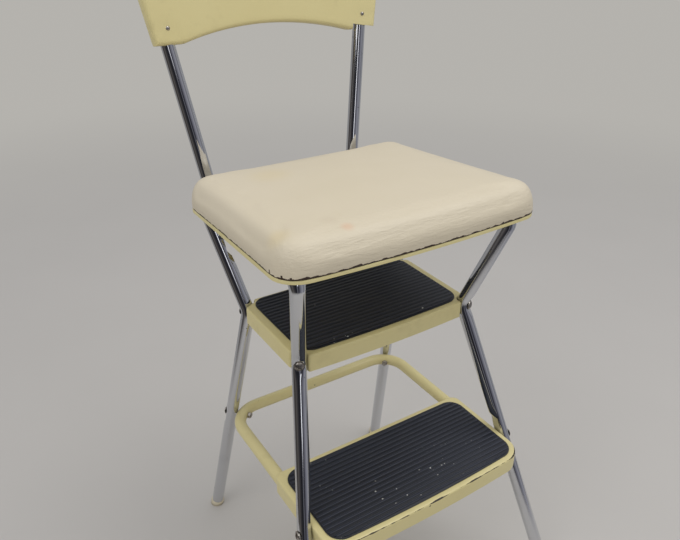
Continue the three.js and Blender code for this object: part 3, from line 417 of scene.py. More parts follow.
def bent_tube(corners, radius):
    start, toward = corners[0][0], corners[1][0] - corners[0][0]
    bpy.ops.object.select_all(action="DESELECT")
    bpy.ops.mesh.primitive_circle_add(vertices=tube_sides, radius=radius)
    tube = bpy.context.active_object
    tube.data.transform(standing(start, toward))
    bpy.ops.object.mode_set(mode="EDIT")
    bpy.ops.mesh.select_all(action="SELECT")
    for move in bend_rings(corners):
        if move[0] == "run":
            rings = max(1, round(move[1].length / ring_spacing))
            for ring in range(rings):
                extrude(move[1] / rings)
        else:
            centre, axis, angle = move[1:]
            steps = max(2, math.ceil(angle / bend_step))
            bpy.ops.mesh.spin(steps=steps, angle=angle, center=centre, axis=axis)
    bpy.ops.mesh.select_all(action="SELECT")
    bpy.ops.mesh.remove_doubles(threshold=tube_wall / 100)
    bpy.ops.mesh.normals_make_consistent(inside=False)
    bpy.ops.object.mode_set(mode="OBJECT")
    face = tube.data.polygons[0]
    if face.normal.dot(face.center - start) < 0:
        tube.data.flip_normals()
    return tube


def press_flat(tube, place, normal, along, half=pressed_half, length=press_length):
    for vertex in tube.data.vertices:
        offset = vertex.co - place
        past = abs(offset.dot(along)) - length / 2
        if offset.length > length / 2 + 4 * tube_radius or past > press_fade:
            continue
        limit = half + (tube_radius - half) * max(0, past / press_fade) ** 2
        depth = offset.dot(normal)
        if depth > limit:
            vertex.co -= normal * (depth - limit)


def knee_of(before, knee, after):
    back = (before - knee).normalized()
    ahead = (after - knee).normalized()
    inward = (back + ahead).normalized()
    middle = knee + inward * (knee_bend / math.sin(back.angle(ahead) / 2) - knee_bend)
    return middle, Vector((inward.x, inward.y, 0)).normalized()


up = Vector((0, 0, 1))
right = Vector((1, 0, 0))
front_leg = (front_knee - front_foot).normalized()
rear_leg = (rear_knee - rear_foot).normalized()
front_knee_middle, front_knee_outward = knee_of(front_foot, front_knee, front_top)
rear_knee_middle, rear_knee_outward = knee_of(rear_foot, rear_knee, rear_top)
step_screw_place = at_height(front_foot, front_knee, step_screw_height)
brace_crossing = at_height(rear_foot, rear_knee, brace_height)
brace_outward = Vector((0.621, 0.784, 0))
lap_on_leg = at_height(rear_knee, rear_top, lap_height)
lap_on_rail = front_top.lerp(rail_rear, (lap_on_leg.y - front_top.y) / (rail_rear.y - front_top.y))
rail_along = (rail_rear - front_top).normalized()

side_tube = bent_tube([
    (front_foot + front_leg * glide_height, 0), (front_knee, knee_bend), (front_top, top_bend),
    (rail_rear, rail_bend), (post_at(post_foot), post_bend), (post_at(post_top), 0),
], tube_radius)
press_flat(side_tube, front_knee_middle, front_knee_outward, up)
press_flat(side_tube, front_knee_middle, -front_knee_outward, up)
press_flat(side_tube, step_screw_place, -right, up, length=step_press)
press_flat(side_tube, step_screw_place, right, up)
press_flat(side_tube, lap_on_rail, right, rail_along, lap_half, rail_press)
rear_tube = bent_tube([
    (rear_foot + rear_leg * glide_height, 0), (rear_knee, knee_bend), (rear_top, 0),
], tube_radius)
press_flat(rear_tube, rear_knee_middle, rear_knee_outward, up)
press_flat(rear_tube, rear_knee_middle, -rear_knee_outward, up)
press_flat(rear_tube, brace_crossing, brace_outward, up)
press_flat(rear_tube, lap_on_leg, -right, up, lap_half, leg_press)
for tube, node in ((side_tube, "side_tube"), (rear_tube, "rear_leg")):
    apply_modifier(tube, "SOLIDIFY", thickness=tube_wall, offset=-1)
    finish_pair(tube, f"chromed_{node}", chrome, node)


# The four foot glides: cream plastic cups on the tubes' ends, cut flat where they stand. The plug
# that holds each one goes up inside its tube.
glide_foot = -0.004
glide_bore = 0.004
cup_radius = tube_radius + 0.0013
cup_height = 0.01
plug_radius = 0.008
plug_top = cup_height + 0.016
glide_edge = 0.001
darker_band_height = 0.006
plastic_color = (0.62, 0.55, 0.40, 1)
plastic_dark_tone = (0.23, 0.19, 0.13, 1)


def lathed(profile, sides=24):
    """A solid turned round Z from (radius, height) pairs, with a flat face at either end."""
    bpy.ops.object.select_all(action="DESELECT")
    bpy.ops.mesh.primitive_circle_add(vertices=sides, radius=profile[0][0], fill_type="NGON")
    piece = bpy.context.active_object
    piece.data.transform(Matrix.Translation((0, 0, profile[0][1])))
    bpy.ops.object.mode_set(mode="EDIT")
    bpy.ops.mesh.select_all(action="SELECT")
    for (was_radius, was_height), (new_radius, new_height) in zip(profile, profile[1:]):
        extrude((0, 0, new_height - was_height))
        grow = new_radius / was_radius
        bpy.ops.transform.resize(value=(grow, grow, 1), center_override=(0, 0, 0))
    bpy.ops.mesh.select_all(action="SELECT")
    bpy.ops.mesh.normals_make_consistent(inside=False)
    bpy.ops.object.mode_set(mode="OBJECT")
    return piece


# The plastic is darker in dirty patches and darker towards the bottom of each glide.
cream_plastic, tree, shader, place = new_finish("aged_cream_plastic", Roughness=0.5)
darker_low = ramped(tree, split(tree, place)["Z"], darker_band_height, 0.0, high=0.8)
dirt = group_mask(tree, patches, Place=place, Scale=130.0, Cover=0.5, Softness=0.3)
dark = calculated(tree, "MAXIMUM", darker_low, product(tree, dirt, 0.5))
feed(tree, mixed(tree, dark, plastic_color, plastic_dark_tone), shader, "Base Color")
bumped(tree, shader, dirt, 0.0002, 0.4)

for end, foot, along in (("front", front_foot, front_leg), ("rear", rear_foot, rear_leg)):
    glide = lathed([
        (glide_bore, glide_foot), (cup_radius, glide_foot), (cup_radius, cup_height - glide_edge),
        (cup_radius - glide_edge, cup_height), (plug_radius, cup_height),
        (plug_radius, plug_top - glide_edge), (plug_radius - glide_edge, plug_top),
        (plug_radius - 3 * glide_edge, plug_top),
    ], tube_sides)
    glide.data.transform(standing(foot, along))
    bpy.ops.object.mode_set(mode="EDIT")
    bpy.ops.mesh.select_all(action="SELECT")
    bpy.ops.mesh.bisect(plane_co=(0, 0, 0), plane_no=(0, 0, -1), clear_outer=True, use_fill=True)
    bpy.ops.mesh.select_all(action="SELECT")
    bpy.ops.mesh.normals_make_consistent(inside=False)
    bpy.ops.object.mode_set(mode="OBJECT")
    finish_pair(glide, f"plastic_glide_{end}", cream_plastic, f"foot_glide_{end}")


# The yellow enamel on all the sheet metal and on the brace: pale butter yellow, yellowed and
# grimy in patches, with dark chips and, round the lower step's front, a line worn to the metal.
paint_color = (0.70, 0.62, 0.325, 1)
paint_shade = (0.62, 0.53, 0.245, 1)
bare_metal = (0.045, 0.038, 0.032, 1)
rust_color = (0.30, 0.13, 0.04, 1)
grime_color = (0.42, 0.35, 0.17, 1)
worn_half = 0.0009
worn_ragged = 0.0040


def paint_finish(name, chips, worn_height=None, worn_front=0.0):
    material, tree, shader, place = new_finish(name, Roughness=0.4)
    broad = noise(tree, place, 7.0, 5.0)
    grime = group_mask(tree, patches, Place=place, Scale=38.0, Cover=0.42, Softness=0.3)
    color = mixed(tree, broad, paint_color, paint_shade)
    color = mixed(tree, product(tree, grime, 0.35), color, grime_color)
    rust = group_mask(tree, patches, Place=place, Scale=60.0, Cover=0.06, Softness=0.12)
    color = mixed(tree, product(tree, rust, 0.7), color, rust_color)
    chipped = group_mask(tree, specks, Place=place, Scale=150.0, Share=chips, Size=0.35)
    if worn_height is not None:
        spot = split(tree, place)
        off_line = calculated(tree, "ABSOLUTE", calculated(tree, "SUBTRACT", spot["Z"], worn_height))
        ragged = noise(tree, place, 55.0, 6.0)
        width = product(tree, calculated(tree, "SUBTRACT", ragged, 0.38), worn_ragged)
        line = calculated(tree, "LESS_THAN", off_line, calculated(tree, "MINIMUM", width, worn_half))
        ahead = calculated(tree, "LESS_THAN", spot["Y"], worn_front)
        chipped = calculated(tree, "MAXIMUM", chipped, product(tree, line, ahead))
    feed(tree, mixed(tree, chipped, color, bare_metal), shader, "Base Color")
    rough = calculated(tree, "MULTIPLY_ADD", grime, 0.22, 0.33)
    feed(tree, calculated(tree, "MAXIMUM", rough, product(tree, chipped, 0.75)), shader, "Roughness")
    peel = noise(tree, place, 330.0, 2.0)
    relief = calculated(tree, "SUBTRACT", product(tree, peel, 0.3), chipped)
    bumped(tree, shader, relief, 0.00025, 0.5)
    return material


# The two steps: trays pressed from steel sheet, with a flat tread and a skirt that turns down all
# round. At each knee the upper one's skirt stops beside the tube and turns in, square to the screw.
part_gap = 0.0003
sheet = 0.0012
skirt = 0.024
skirt_round = 0.003
lower_low, lower_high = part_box("lower_step")
upper_low, upper_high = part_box("upper_step")
lower_bow = 0.005
upper_bow = 0.0035
lower_corner = 0.028
lower_rear_corner = 0.013
upper_corner = 0.003
bow_cuts = 15
worn_drop = 0.0012
worn_reach = 0.02


def select_where(piece, kind, chosen, with_normal=False):
    """In edit mode, selects the vertices, edges or polygons for whose place chosen says yes."""
    bpy.ops.object.mode_set(mode="OBJECT")
    kinds = ("vertices", "edges", "polygons")
    bpy.context.tool_settings.mesh_select_mode = [kind == name for name in kinds]
    mesh = piece.data
    for group in (mesh.vertices, mesh.edges, mesh.polygons):
        group.foreach_set("select", [False] * len(group))
    for item in getattr(mesh, kind):
        if kind == "vertices":
            item.select = chosen(item.co)
        elif kind == "edges":
            first, second = (mesh.vertices[index].co for index in item.vertices)
            item.select = chosen((first + second) / 2)
        elif with_normal:
            item.select = chosen(item.center, item.normal)
        else:
            item.select = chosen(item.center)
    bpy.ops.object.mode_set(mode="EDIT")


def cut_by(piece, cutter, operation="DIFFERENCE"):
    """Cuts a piece by another one, or joins the two, and throws the other one away."""
    apply_modifier(piece, "BOOLEAN", operation=operation, object=cutter, solver="EXACT")
    bpy.data.objects.remove(cutter)


def rod(sides, radius, length, middle, turn=(0, 0, 0)):
    """A round rod along Z, or turned to lie along another axis."""
    bpy.ops.object.select_all(action="DESELECT")
    bpy.ops.mesh.primitive_cylinder_add(
        vertices=sides, radius=radius, depth=length, location=middle, rotation=turn,
    )
    bpy.ops.object.transform_apply(location=True, rotation=True)
    return bpy.context.active_object


def rounded_sheet(half_width, front, rear, corner, bow, height, cuts=(), rear_corner=None):
    """A flat sheet with round corners and a bowed front edge, left in edit mode."""
    bpy.ops.object.select_all(action="DESELECT")
    bpy.ops.mesh.primitive_plane_add(size=1)
    piece = bpy.context.active_object
    size = Matrix.Diagonal((2 * half_width, rear - front, 1, 1))
    middle_y = (front + rear) / 2
    piece.data.transform(Matrix.Translation((0, middle_y, height)) @ size)
    bpy.ops.object.mode_set(mode="EDIT")
    for place, normal, beside in cuts:
        for side in (1, -1):
            for x, across in ((place.x, (side * normal.x, normal.y, 0)), (beside, (1, 0, 0))):
                bpy.ops.mesh.select_all(action="SELECT")
                bpy.ops.mesh.bisect(plane_co=(side * x, place.y, height), plane_no=across)
    if cuts:
        select_where(piece, "polygons", lambda middle: any(
            abs(middle.x) > beside
            and (Vector((abs(middle.x), middle.y, 0)) - place).xy.dot(normal.xy) > 0
            for place, normal, beside in cuts
        ))
        bpy.ops.mesh.delete(type="FACE")
        bpy.ops.mesh.select_all(action="SELECT")
        bpy.ops.mesh.dissolve_limited()
    corners = {"offset_type": "OFFSET", "segments": 8, "profile": 0.5, "affect": "VERTICES"}
    if rear_corner is not None:
        select_where(piece, "vertices", lambda place: place.y > middle_y)
        bpy.ops.mesh.bevel(offset=rear_corner, **corners)
    select_where(piece, "vertices", lambda place: rear_corner is None or place.y < middle_y)
    bpy.ops.mesh.bevel(offset=corner, **corners)
    edge_y = front + corner / 10
    select_where(piece, "edges", lambda place: place.y < edge_y and abs(place.x) < half_width / 4)
    bpy.ops.mesh.subdivide(number_cuts=bow_cuts)
    bpy.ops.object.mode_set(mode="OBJECT")
    flat_half = max(v.co.x for v in piece.data.vertices if v.co.y < edge_y)
    reach = flat_half if cuts else half_width
    for vertex in piece.data.vertices:
        if vertex.co.y < middle_y:
            vertex.co.y -= bow * max(0, 1 - (vertex.co.x / reach) ** 2)
    bpy.ops.object.mode_set(mode="EDIT")
    bpy.ops.mesh.select_all(action="SELECT")
    return piece


def raised(piece, height):
    """Draws a flat sheet up, leaving its underside open; the raised sheet stays selected."""
    foot = piece.data.vertices[0].co.z
    bpy.ops.mesh.select_mode(type="FACE")
    bpy.ops.mesh.select_all(action="SELECT")
    extrude((0, 0, height))
    select_where(piece, "polygons", lambda place: place.z < foot + height / 10)
    bpy.ops.mesh.delete(type="ONLY_FACE")
    select_where(piece, "polygons", lambda place: place.z > foot + height * 0.9)


def face_out(piece, outward):
    """Leaves edit mode with the faces turned so that the widest of them looks outwards."""
    bpy.ops.mesh.select_all(action="SELECT")
    bpy.ops.mesh.normals_make_consistent(inside=False)
    bpy.ops.object.mode_set(mode="OBJECT")
    if max(piece.data.polygons, key=lambda face: face.area).normal.dot(outward) < 0:
        piece.data.flip_normals()


def pressed_tray(outline, height):
    """Draws a flat sheet up into a tray with a skirt, a round edge and a wall."""
    raised(outline, height)
    bpy.ops.mesh.region_to_loop()
    bpy.ops.mesh.bevel(offset=skirt_round, segments=5, profile=0.5, affect="EDGES")
    face_out(outline, up)
    apply_modifier(outline, "SOLIDIFY", thickness=sheet, offset=-1)


step_paint = paint_finish("worn_step_paint", 0.012, lower_high.z - worn_drop, lower_low.y + worn_reach)
upper_paint = paint_finish("upper_step_paint", 0.006)
knees = ((front_knee_middle, front_knee_outward), (rear_knee_middle, rear_knee_outward))
upper_cuts = [
    (middle - outward * (pressed_half + part_gap), outward, middle.x - tube_radius - 2 * part_gap)
    for middle, outward in knees
]
upper_step = rounded_sheet(
    upper_high.x, upper_low.y + upper_bow, upper_high.y, upper_corner, upper_bow, upper_low.z,
    upper_cuts,
)
pressed_tray(upper_step, skirt)
finish_mesh(upper_step, "enamelled_upper_step", upper_paint, "frame")
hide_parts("upper_step")

brace_radius = 0.0088
brace_spread = lower_high.x - sheet - part_gap - brace_radius
to_rear = (math.pi / 2, 0, 0)
lower_step = rounded_sheet(
    lower_high.x, lower_low.y + lower_bow, lower_high.y, lower_corner, lower_bow, lower_low.z,
    rear_corner=lower_rear_corner,
)
pressed_tray(lower_step, skirt)
for side in (1, -1):
    brace_end = (side * brace_spread, lower_high.y, brace_height)
    cut_by(lower_step, rod(tube_sides, brace_radius + part_gap, 2 * lower_corner, brace_end, to_rear))
finish_mesh(lower_step, "enamelled_lower_step", step_paint, "frame")
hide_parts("lower_step")


# A black rubber mat lies on each tread: a thin moulded sheet with ribs from side to side and a
# smooth margin, glued down, with pale scuffs and specks of paint on its ribs.
# The rib tops carry a painted highlight and the grooves painted shade; the upper mat's rubber is
# painted lighter than the lower one's, as painted light and shade.
mat_base = 0.0016
mat_rib = 0.0012
mat_pitch = 0.0075
rib_width = 0.0046
rib_top_share = 0.62
mat_margin = 0.002
mat_corner = 0.021
mat_edge = 0.0005
crest_highlight_fade = (0.0009, 0.0001)
trodden_reach = (0.075, 0.03)
rubber_color = (0.015, 0.019, 0.034, 1)
groove_shade_color = (0.009, 0.011, 0.019, 1)
scuff_color = (0.16, 0.16, 0.17, 1)
fleck_color = (0.6, 0.6, 0.57, 1)


def block(middle, size):
    bpy.ops.object.select_all(action="DESELECT")
    bpy.ops.mesh.primitive_cube_add(size=1)
    piece = bpy.context.active_object
    piece.data.transform(Matrix.Translation(middle) @ Matrix.Diagonal((*size, 1)))
    return piece


def stretched(tree, place, *scale):
    return add_node(tree, "ShaderNodeMapping", {"Vector": place, "Scale": scale}).outputs[0]


def rubber_finish(name, rib_top=None, fleck_front=0.0, patch_and_lit_tone_color=(0.024, 0.029, 0.046, 1)):
    material, tree, shader, place = new_finish(name, Roughness=0.55)
    spot = split(tree, place)
    broad = group_mask(tree, patches, Place=place, Scale=14.0, Cover=0.5, Softness=0.35)
    # Random patches of a second tone, which each mat sets lighter or darker as painted light and shade.
    color = mixed(tree, broad, rubber_color, patch_and_lit_tone_color)
    # Painted highlight on the rib tops and painted shade in the grooves, by height.
    if rib_top is not None:
        crest_highlight = ramped(tree, spot["Z"], rib_top - crest_highlight_fade[0], rib_top - crest_highlight_fade[1])
        color = mixed(tree, crest_highlight, groove_shade_color, color)
    drawn = stretched(tree, place, 0.25, 1.0, 1.0)
    scuff = group_mask(tree, patches, Place=drawn, Scale=150.0, Cover=0.22, Softness=0.2)
    color = mixed(tree, product(tree, scuff, 0.25), color, scuff_color)
    dust = group_mask(tree, patches, Place=place, Scale=16.0, Cover=0.5, Softness=0.1)
    flecks = group_mask(tree, specks, Place=place, Scale=190.0, Share=0.2, Size=0.27)
    far, near = (fleck_front + reach for reach in trodden_reach)
    trodden = ramped(tree, spot["Y"], far, near, low=0.15)
    bright = product(tree, flecks, product(tree, dust, trodden))
    feed(tree, mixed(tree, bright, color, fleck_color), shader, "Base Color")
    feed(tree, calculated(tree, "MULTIPLY_ADD", broad, 0.2, 0.42), shader, "Roughness")
    skin = noise(tree, place, 900.0, 3.0)
    bumped(tree, shader, skin, 0.0002, 0.5)
    return material


# The two mats are one rubber: its second tone is painted lighter on the upper mat and darker on the
# lower one, as painted light and shade.
for node, bow, patch_and_lit_tone_color in (
    ("upper_step_mat", upper_bow, (0.034, 0.036, 0.056, 1)),
    ("lower_step_mat", lower_bow, (0.016, 0.020, 0.034, 1)),
):
    low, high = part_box(node)
    front = low.y + bow
    rubber = rubber_finish(f"rubber_{node}", high.z, low.y, patch_and_lit_tone_color)
    base = rounded_sheet(high.x, front, high.y, mat_corner, bow, low.z)
    bpy.ops.object.mode_set(mode="OBJECT")
    apply_modifier(base, "SOLIDIFY", thickness=mat_base, offset=1)
    apply_modifier(base, "BEVEL", width=mat_edge, segments=2, limit_method="ANGLE")
    trim = rounded_sheet(
        high.x - mat_margin, front + mat_margin, high.y - mat_margin, mat_corner - mat_margin, bow,
        low.z + mat_base / 2,
    )
    bpy.ops.object.mode_set(mode="OBJECT")
    apply_modifier(trim, "SOLIDIFY", thickness=2 * mat_base + mat_rib, offset=1)
    count = math.floor((high.y - low.y) / mat_pitch)
    first = (low.y + high.y - (count - 1) * mat_pitch) / 2
    rib_middle = (0, first, low.z + mat_base + mat_rib / 2 - mat_base / 8)
    ribs = block(rib_middle, (2 * high.x, rib_width, mat_rib + mat_base / 4))
    rib_top = low.z + mat_base + mat_rib
    crest_foot = rib_top - mat_rib / 10
    select_where(ribs, "polygons", lambda place: place.z > crest_foot)
    bpy.ops.transform.resize(value=(1, rib_top_share, 1), center_override=(0, first, rib_top))
    select_where(ribs, "edges", lambda place: place.z > crest_foot and abs(place.x) < high.x / 2)
    bpy.ops.mesh.bevel(offset=mat_rib / 2.2, segments=2, profile=0.5, affect="EDGES")
    bpy.ops.object.mode_set(mode="OBJECT")
    apply_modifier(
        ribs, "ARRAY", count=count, use_relative_offset=False, use_constant_offset=True,
        constant_offset_displace=(0, mat_pitch, 0),
    )
    cut_by(ribs, trim, "INTERSECT")
    pick_out(base)
    ribs.select_set(True)
    bpy.ops.object.join()
    finish_mesh(base, f"ribbed_{node}", rubber, "frame", 30)
    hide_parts(node)


# The step brace: one painted tube bent into a U, from inside the lower step's skirt round the
# inside of the rear legs, which it is screwed to.
brace_bend = 0.042
brace_low, brace_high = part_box("step_brace")
brace_rear = brace_high.y - brace_radius
brace_paint = paint_finish("brace_paint", 0.03)
step_brace = bent_tube([
    (Vector((-brace_spread, brace_low.y, brace_height)), 0),
    (Vector((-brace_spread, brace_rear, brace_height)), brace_bend),
    (Vector((brace_spread, brace_rear, brace_height)), brace_bend),
    (Vector((brace_spread, brace_low.y, brace_height)), 0),
], brace_radius)
apply_modifier(step_brace, "SOLIDIFY", thickness=tube_wall, offset=-1)
finish_mesh(step_brace, "enamelled_brace", brace_paint, "frame")
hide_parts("step_brace")


# The seat pan: a painted steel tray upside down, with a low skirt as its rim, a ledge that the
# cushion's edge sits on and a raised deck. Two ears hang from it on the hinge pins.
seat_tilt = math.radians(3.5)
seat_place = Matrix.Translation(hinge) @ Matrix.Rotation(-seat_tilt, 4, "X")
seat_half_width = 0.1811
seat_front = -0.28425
seat_depth = 0.3
seat_rear = seat_front + seat_depth
seat_middle = (seat_front + seat_rear) / 2
seat_corner = 0.031
seat_bow = 0.0086
seat_taper = 0.006
rim_foot = 0.001
rim_height = 0.0045
rim_round = 0.0018
ledge = 0.004
deck_rise = 0.005
pan_sheet = 0.0015
ear_inner = 0.12154
ear_sheet = 0.0026
ear_root = 0.00975
ear_half_width = 0.011
eye_radius = 0.006
pin_hole = 0.0028
past_seat = 0.02
notch_low = Vector((0.12444, eye_radius, -past_seat))
notch_high = Vector((0.12974, seat_rear + past_seat, 0.0087))
to_side = (0, math.pi / 2, 0)


def tapered(piece):
    """Draws a piece in toward the seat's rear."""
    half_depth = seat_rear - seat_middle
    for vertex in piece.data.vertices:
        vertex.co.x *= 1 - (seat_taper / seat_half_width) * (vertex.co.y - seat_middle) / half_depth


seat_pan = rounded_sheet(seat_half_width, seat_front, seat_rear, seat_corner, seat_bow, rim_foot)
raised(seat_pan, rim_height)
bpy.ops.mesh.region_to_loop()
bpy.ops.mesh.bevel(offset=rim_round, segments=4, profile=0.5, affect="EDGES")
select_where(seat_pan, "polygons", lambda place: place.z > rim_foot + rim_height - rim_round / 20)
bpy.ops.mesh.inset(thickness=ledge - rim_round)
extrude((0, 0, deck_rise))
face_out(seat_pan, up)
tapered(seat_pan)
apply_modifier(seat_pan, "SOLIDIFY", thickness=pan_sheet, offset=-1)
notch_middle = (notch_high + notch_low) / 2
for side in (1, -1):
    notch_place = (side * notch_middle.x, notch_middle.y, notch_middle.z)
    cut_by(seat_pan, block(notch_place, notch_high - notch_low))
    ear_middle = (side * (ear_inner + ear_sheet / 2), 0, 0)
    ear = rod(24, eye_radius, ear_sheet, ear_middle, to_side)
    for vertex in ear.data.vertices:
        if vertex.co.z > eye_radius / 100:
            vertex.co.z = ear_root
            vertex.co.y *= ear_half_width / eye_radius
    cut_by(ear, rod(16, pin_hole, 4 * ear_sheet, ear_middle, to_side))
    cut_by(seat_pan, ear, "UNION")
seat_pan.data.transform(seat_place)
pan_paint = paint_finish("pan_paint", 0.006)
finish_mesh(seat_pan, "enamelled_seat_pan", pan_paint, "seat")
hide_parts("seat_pan")


# The cushion: cream vinyl stretched over foam and tucked under the board. Its top is crowned, its
# shoulders are round and its sides pull in between the corners, and it is hollow over the board.
cushion_cap = 0.0016
cushion_hang = 0.006
cushion_relief = 0.0018
remesh_size = 0.0045
cloth_frames = 20
board_inset = 0.014
board_sheet = 0.006
seam_height = rim_foot + rim_height + part_gap
deck_top = rim_foot + rim_height + deck_rise
hem_grow = Matrix.Diagonal((1.0122, 1.0148, 1, 1))
relief_length = 0.03
same_place = 1e-5
tuck_band = 0.002
vinyl_color = (0.68, 0.60, 0.465, 1)
vinyl_shade = (0.60, 0.525, 0.38, 1)
stain_color = (0.52, 0.40, 0.20, 1)
# The hem line's colour: raw edge and dark backing, and a painted shadow of the seam.
hem_and_seam_shadow_color = (0.045, 0.024, 0.014, 1)
tear_half = 0.0012
hem_ragged = 0.0070
hem_drop = 0.0016
crease_reach = (0.055, 0.012)
# Marks in the vinyl: place on the seat, reach, strength and colour.
vinyl_marks = [
    ((-0.098, -0.268, 0.046), 0.011, 0.30, (0.72, 0.34, 0.19, 1)),
    ((-0.108, -0.248, 0.048), 0.016, 0.12, (0.45, 0.34, 0.24, 1)),
    ((-0.085, -0.065, 0.049), 0.040, 0.22, (0.66, 0.52, 0.24, 1)),
    ((-0.172, -0.245, 0.044), 0.022, 0.25, (0.66, 0.50, 0.20, 1)),
    ((-0.168, -0.105, 0.046), 0.0016, 0.75, (0.10, 0.075, 0.05, 1)),
]
# Short tears that run up from the hem: place on the seat and height.
hem_tears = [
    ((-0.1850, -0.2525, 0), 0.0042),
    ((-0.1812, -0.2710, 0), 0.0028),
    ((-0.1750, -0.2792, 0), 0.0018),
]


def away_from(tree, place, mark):
    node = add_node(tree, "ShaderNodeVectorMath", {0: place, 1: mark}, operation="DISTANCE")
    return node.outputs["Value"]


vinyl, tree, shader, place = new_finish("cream_vinyl", Coat_Weight=0.0)
level = add_node(tree, "ShaderNodeMapping", {
    "Vector": place, "Location": seat_place.inverted().to_translation(), "Rotation": (seat_tilt, 0, 0),
}).outputs[0]
spot = split(tree, level)
broad = noise(tree, place, 6.0, 6.0)
color = mixed(tree, broad, vinyl_color, vinyl_shade)
stain = group_mask(tree, patches, Place=place, Scale=24.0, Cover=0.25, Softness=0.35)
color = mixed(tree, product(tree, stain, 0.22), color, stain_color)
for seat_mark, reach, strength, mark_color in vinyl_marks:
    mark = ramped(tree, away_from(tree, level, seat_mark), reach, reach / 7, high=strength, smooth=True)
    color = mixed(tree, mark, color, mark_color)
# A ragged dark brown line along the hem, running up at the tears: partly the raw cut edge and dark
# backing, partly a painted shadow of the seam between the cushion and the rim.
ragged = noise(tree, place, 120.0, 5.0)
hem = calculated(tree, "MULTIPLY_ADD", ragged, hem_ragged, seam_height - hem_drop)
upright = stretched(tree, level, 1.0, 1.0, 0.0)
tear = 0.0
for tear_place, tear_height in hem_tears:
    slit = calculated(tree, "LESS_THAN", away_from(tree, upright, tear_place), tear_half)
    tear = calculated(tree, "MAXIMUM", tear, product(tree, slit, tear_height))
torn_edge_and_seam_shadow = calculated(tree, "LESS_THAN", spot["Z"], calculated(tree, "ADD", hem, tear))
feed(tree, mixed(tree, torn_edge_and_seam_shadow, color, hem_and_seam_shadow_color), shader, "Base Color")
feed(tree, calculated(tree, "MULTIPLY_ADD", broad, 0.25, 0.36), shader, "Roughness")
pores = add_node(tree, "ShaderNodeTexVoronoi", {"Vector": place, "Scale": 850.0}).outputs["Distance"]
drawn = stretched(tree, level, 0.22, 1.0, 1.3)
far, near = (seat_front + reach for reach in crease_reach)
front_share = ramped(tree, spot["Y"], far, near, smooth=True)
crease_depth = calculated(tree, "MULTIPLY_ADD", front_share, 2.6, 0.12)
creases = product(tree, noise(tree, drawn, 260.0, 3.0, Distortion=0.4), crease_depth)
bumped(tree, shader, calculated(tree, "MULTIPLY_ADD", pores, 0.25, creases), 0.0005, 0.55)

shape = own_copy(frame["nodes"]["seat_cushion"])
shape.parent = None
for key in list(shape.keys()):
    del shape[key]
to_middle = Matrix.Translation((0, seat_middle, 0))
shape.data.transform(to_middle @ hem_grow @ to_middle.inverted() @ seat_place.inverted())
pick_out(shape)
bpy.ops.object.mode_set(mode="EDIT")
bpy.ops.mesh.select_all(action="SELECT")
bpy.ops.mesh.remove_doubles(threshold=same_place)
select_where(shape, "polygons", lambda place, normal: (
    normal.z < -0.5 or (
        abs(normal.z) < 0.5 and normal.x * place.x + normal.y * (place.y - seat_middle) < 0
    )
), True)
bpy.ops.mesh.delete(type="FACE")
bpy.ops.mesh.select_mode(type="EDGE")
bpy.ops.mesh.select_non_manifold()
bpy.ops.mesh.edge_face_add()
bpy.ops.object.mode_set(mode="OBJECT")
lowest = min(vertex.co.z for vertex in shape.data.vertices)
for vertex in shape.data.vertices:
    if vertex.co.z < lowest + part_gap:
        vertex.co.z = seam_height - cushion_hang
cushion = own_copy(shape)
apply_modifier(cushion, "REMESH", mode="VOXEL", voxel_size=remesh_size)
apply_modifier(cushion, "SMOOTH", factor=0.5, iterations=6)
apply_modifier(cushion, "SHRINKWRAP", target=shape, wrap_method="NEAREST_SURFACEPOINT")
apply_modifier(cushion, "SMOOTH", factor=0.5, iterations=4)
bpy.data.objects.remove(shape)
count = len(cushion.data.vertices)
rest = np.zeros(3 * count)
cushion.data.vertices.foreach_get("co", rest)
rest = rest.reshape(-1, 3)
held = cushion.vertex_groups.new(name="tucked")
for index, height in enumerate(rest[:, 2]):
    held.add([index], 1.0 if height < seam_height + tuck_band else 0.0, "REPLACE")
modifier = cushion.modifiers.new("stuffing", "CLOTH")
cloth = modifier.settings
cloth.vertex_group_mass = "tucked"
cloth.use_pressure = True
cloth.uniform_pressure_force = 2.0
cloth.tension_stiffness = 20
cloth.compression_stiffness = 20
cloth.bending_stiffness = 6
cloth.effector_weights.gravity = 0.0
modifier.point_cache.frame_end = cloth_frames
for number in range(1, cloth_frames + 1):
    bpy.context.scene.frame_set(number)
bpy.ops.object.modifier_apply(modifier=modifier.name)
bpy.context.scene.frame_set(1)
puffed = np.zeros(3 * count)
cushion.data.vertices.foreach_get("co", puffed)
moved = puffed.reshape(-1, 3) - rest
length = np.linalg.norm(moved, axis=1, keepdims=True)
rest = rest + moved * np.minimum(1, cushion_cap / np.maximum(length, 1e-9))
cushion.data.vertices.foreach_set("co", rest.ravel())
apply_modifier(cushion, "SMOOTH", factor=0.5, iterations=3)
apply_modifier(cushion, "SUBSURF", levels=1, render_levels=1)
bpy.ops.object.mode_set(mode="EDIT")
bpy.ops.mesh.select_all(action="SELECT")
bpy.ops.mesh.bisect(plane_co=(0, 0, seam_height), plane_no=up, clear_inner=True, use_fill=True)
bpy.ops.object.mode_set(mode="OBJECT")
board_top = deck_top + board_sheet + part_gap
for edge, top in ((ledge, deck_top), (board_inset, board_top)):
    inset = edge - part_gap
    pocket = rounded_sheet(
        seat_half_width - inset, seat_front + inset, seat_rear - inset, seat_corner - inset,
        seat_bow, 0,
    )
    bpy.ops.object.mode_set(mode="OBJECT")
    tapered(pocket)
    apply_modifier(pocket, "SOLIDIFY", thickness=top + part_gap, offset=1)
    cut_by(cushion, pocket)
relief_place = eye_radius + relief_length / 3
relief_size = (notch_high.x - notch_low.x, relief_length, 2 * cushion_relief)
for side in (1, -1):
    cut_by(cushion, block((side * notch_middle.x, relief_place, seam_height), relief_size))
cushion.vertex_groups.clear()
cushion.data.transform(seat_place)
finish_mesh(cushion, "vinyl_cushion", vinyl, "seat", 60)
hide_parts("seat_cushion")


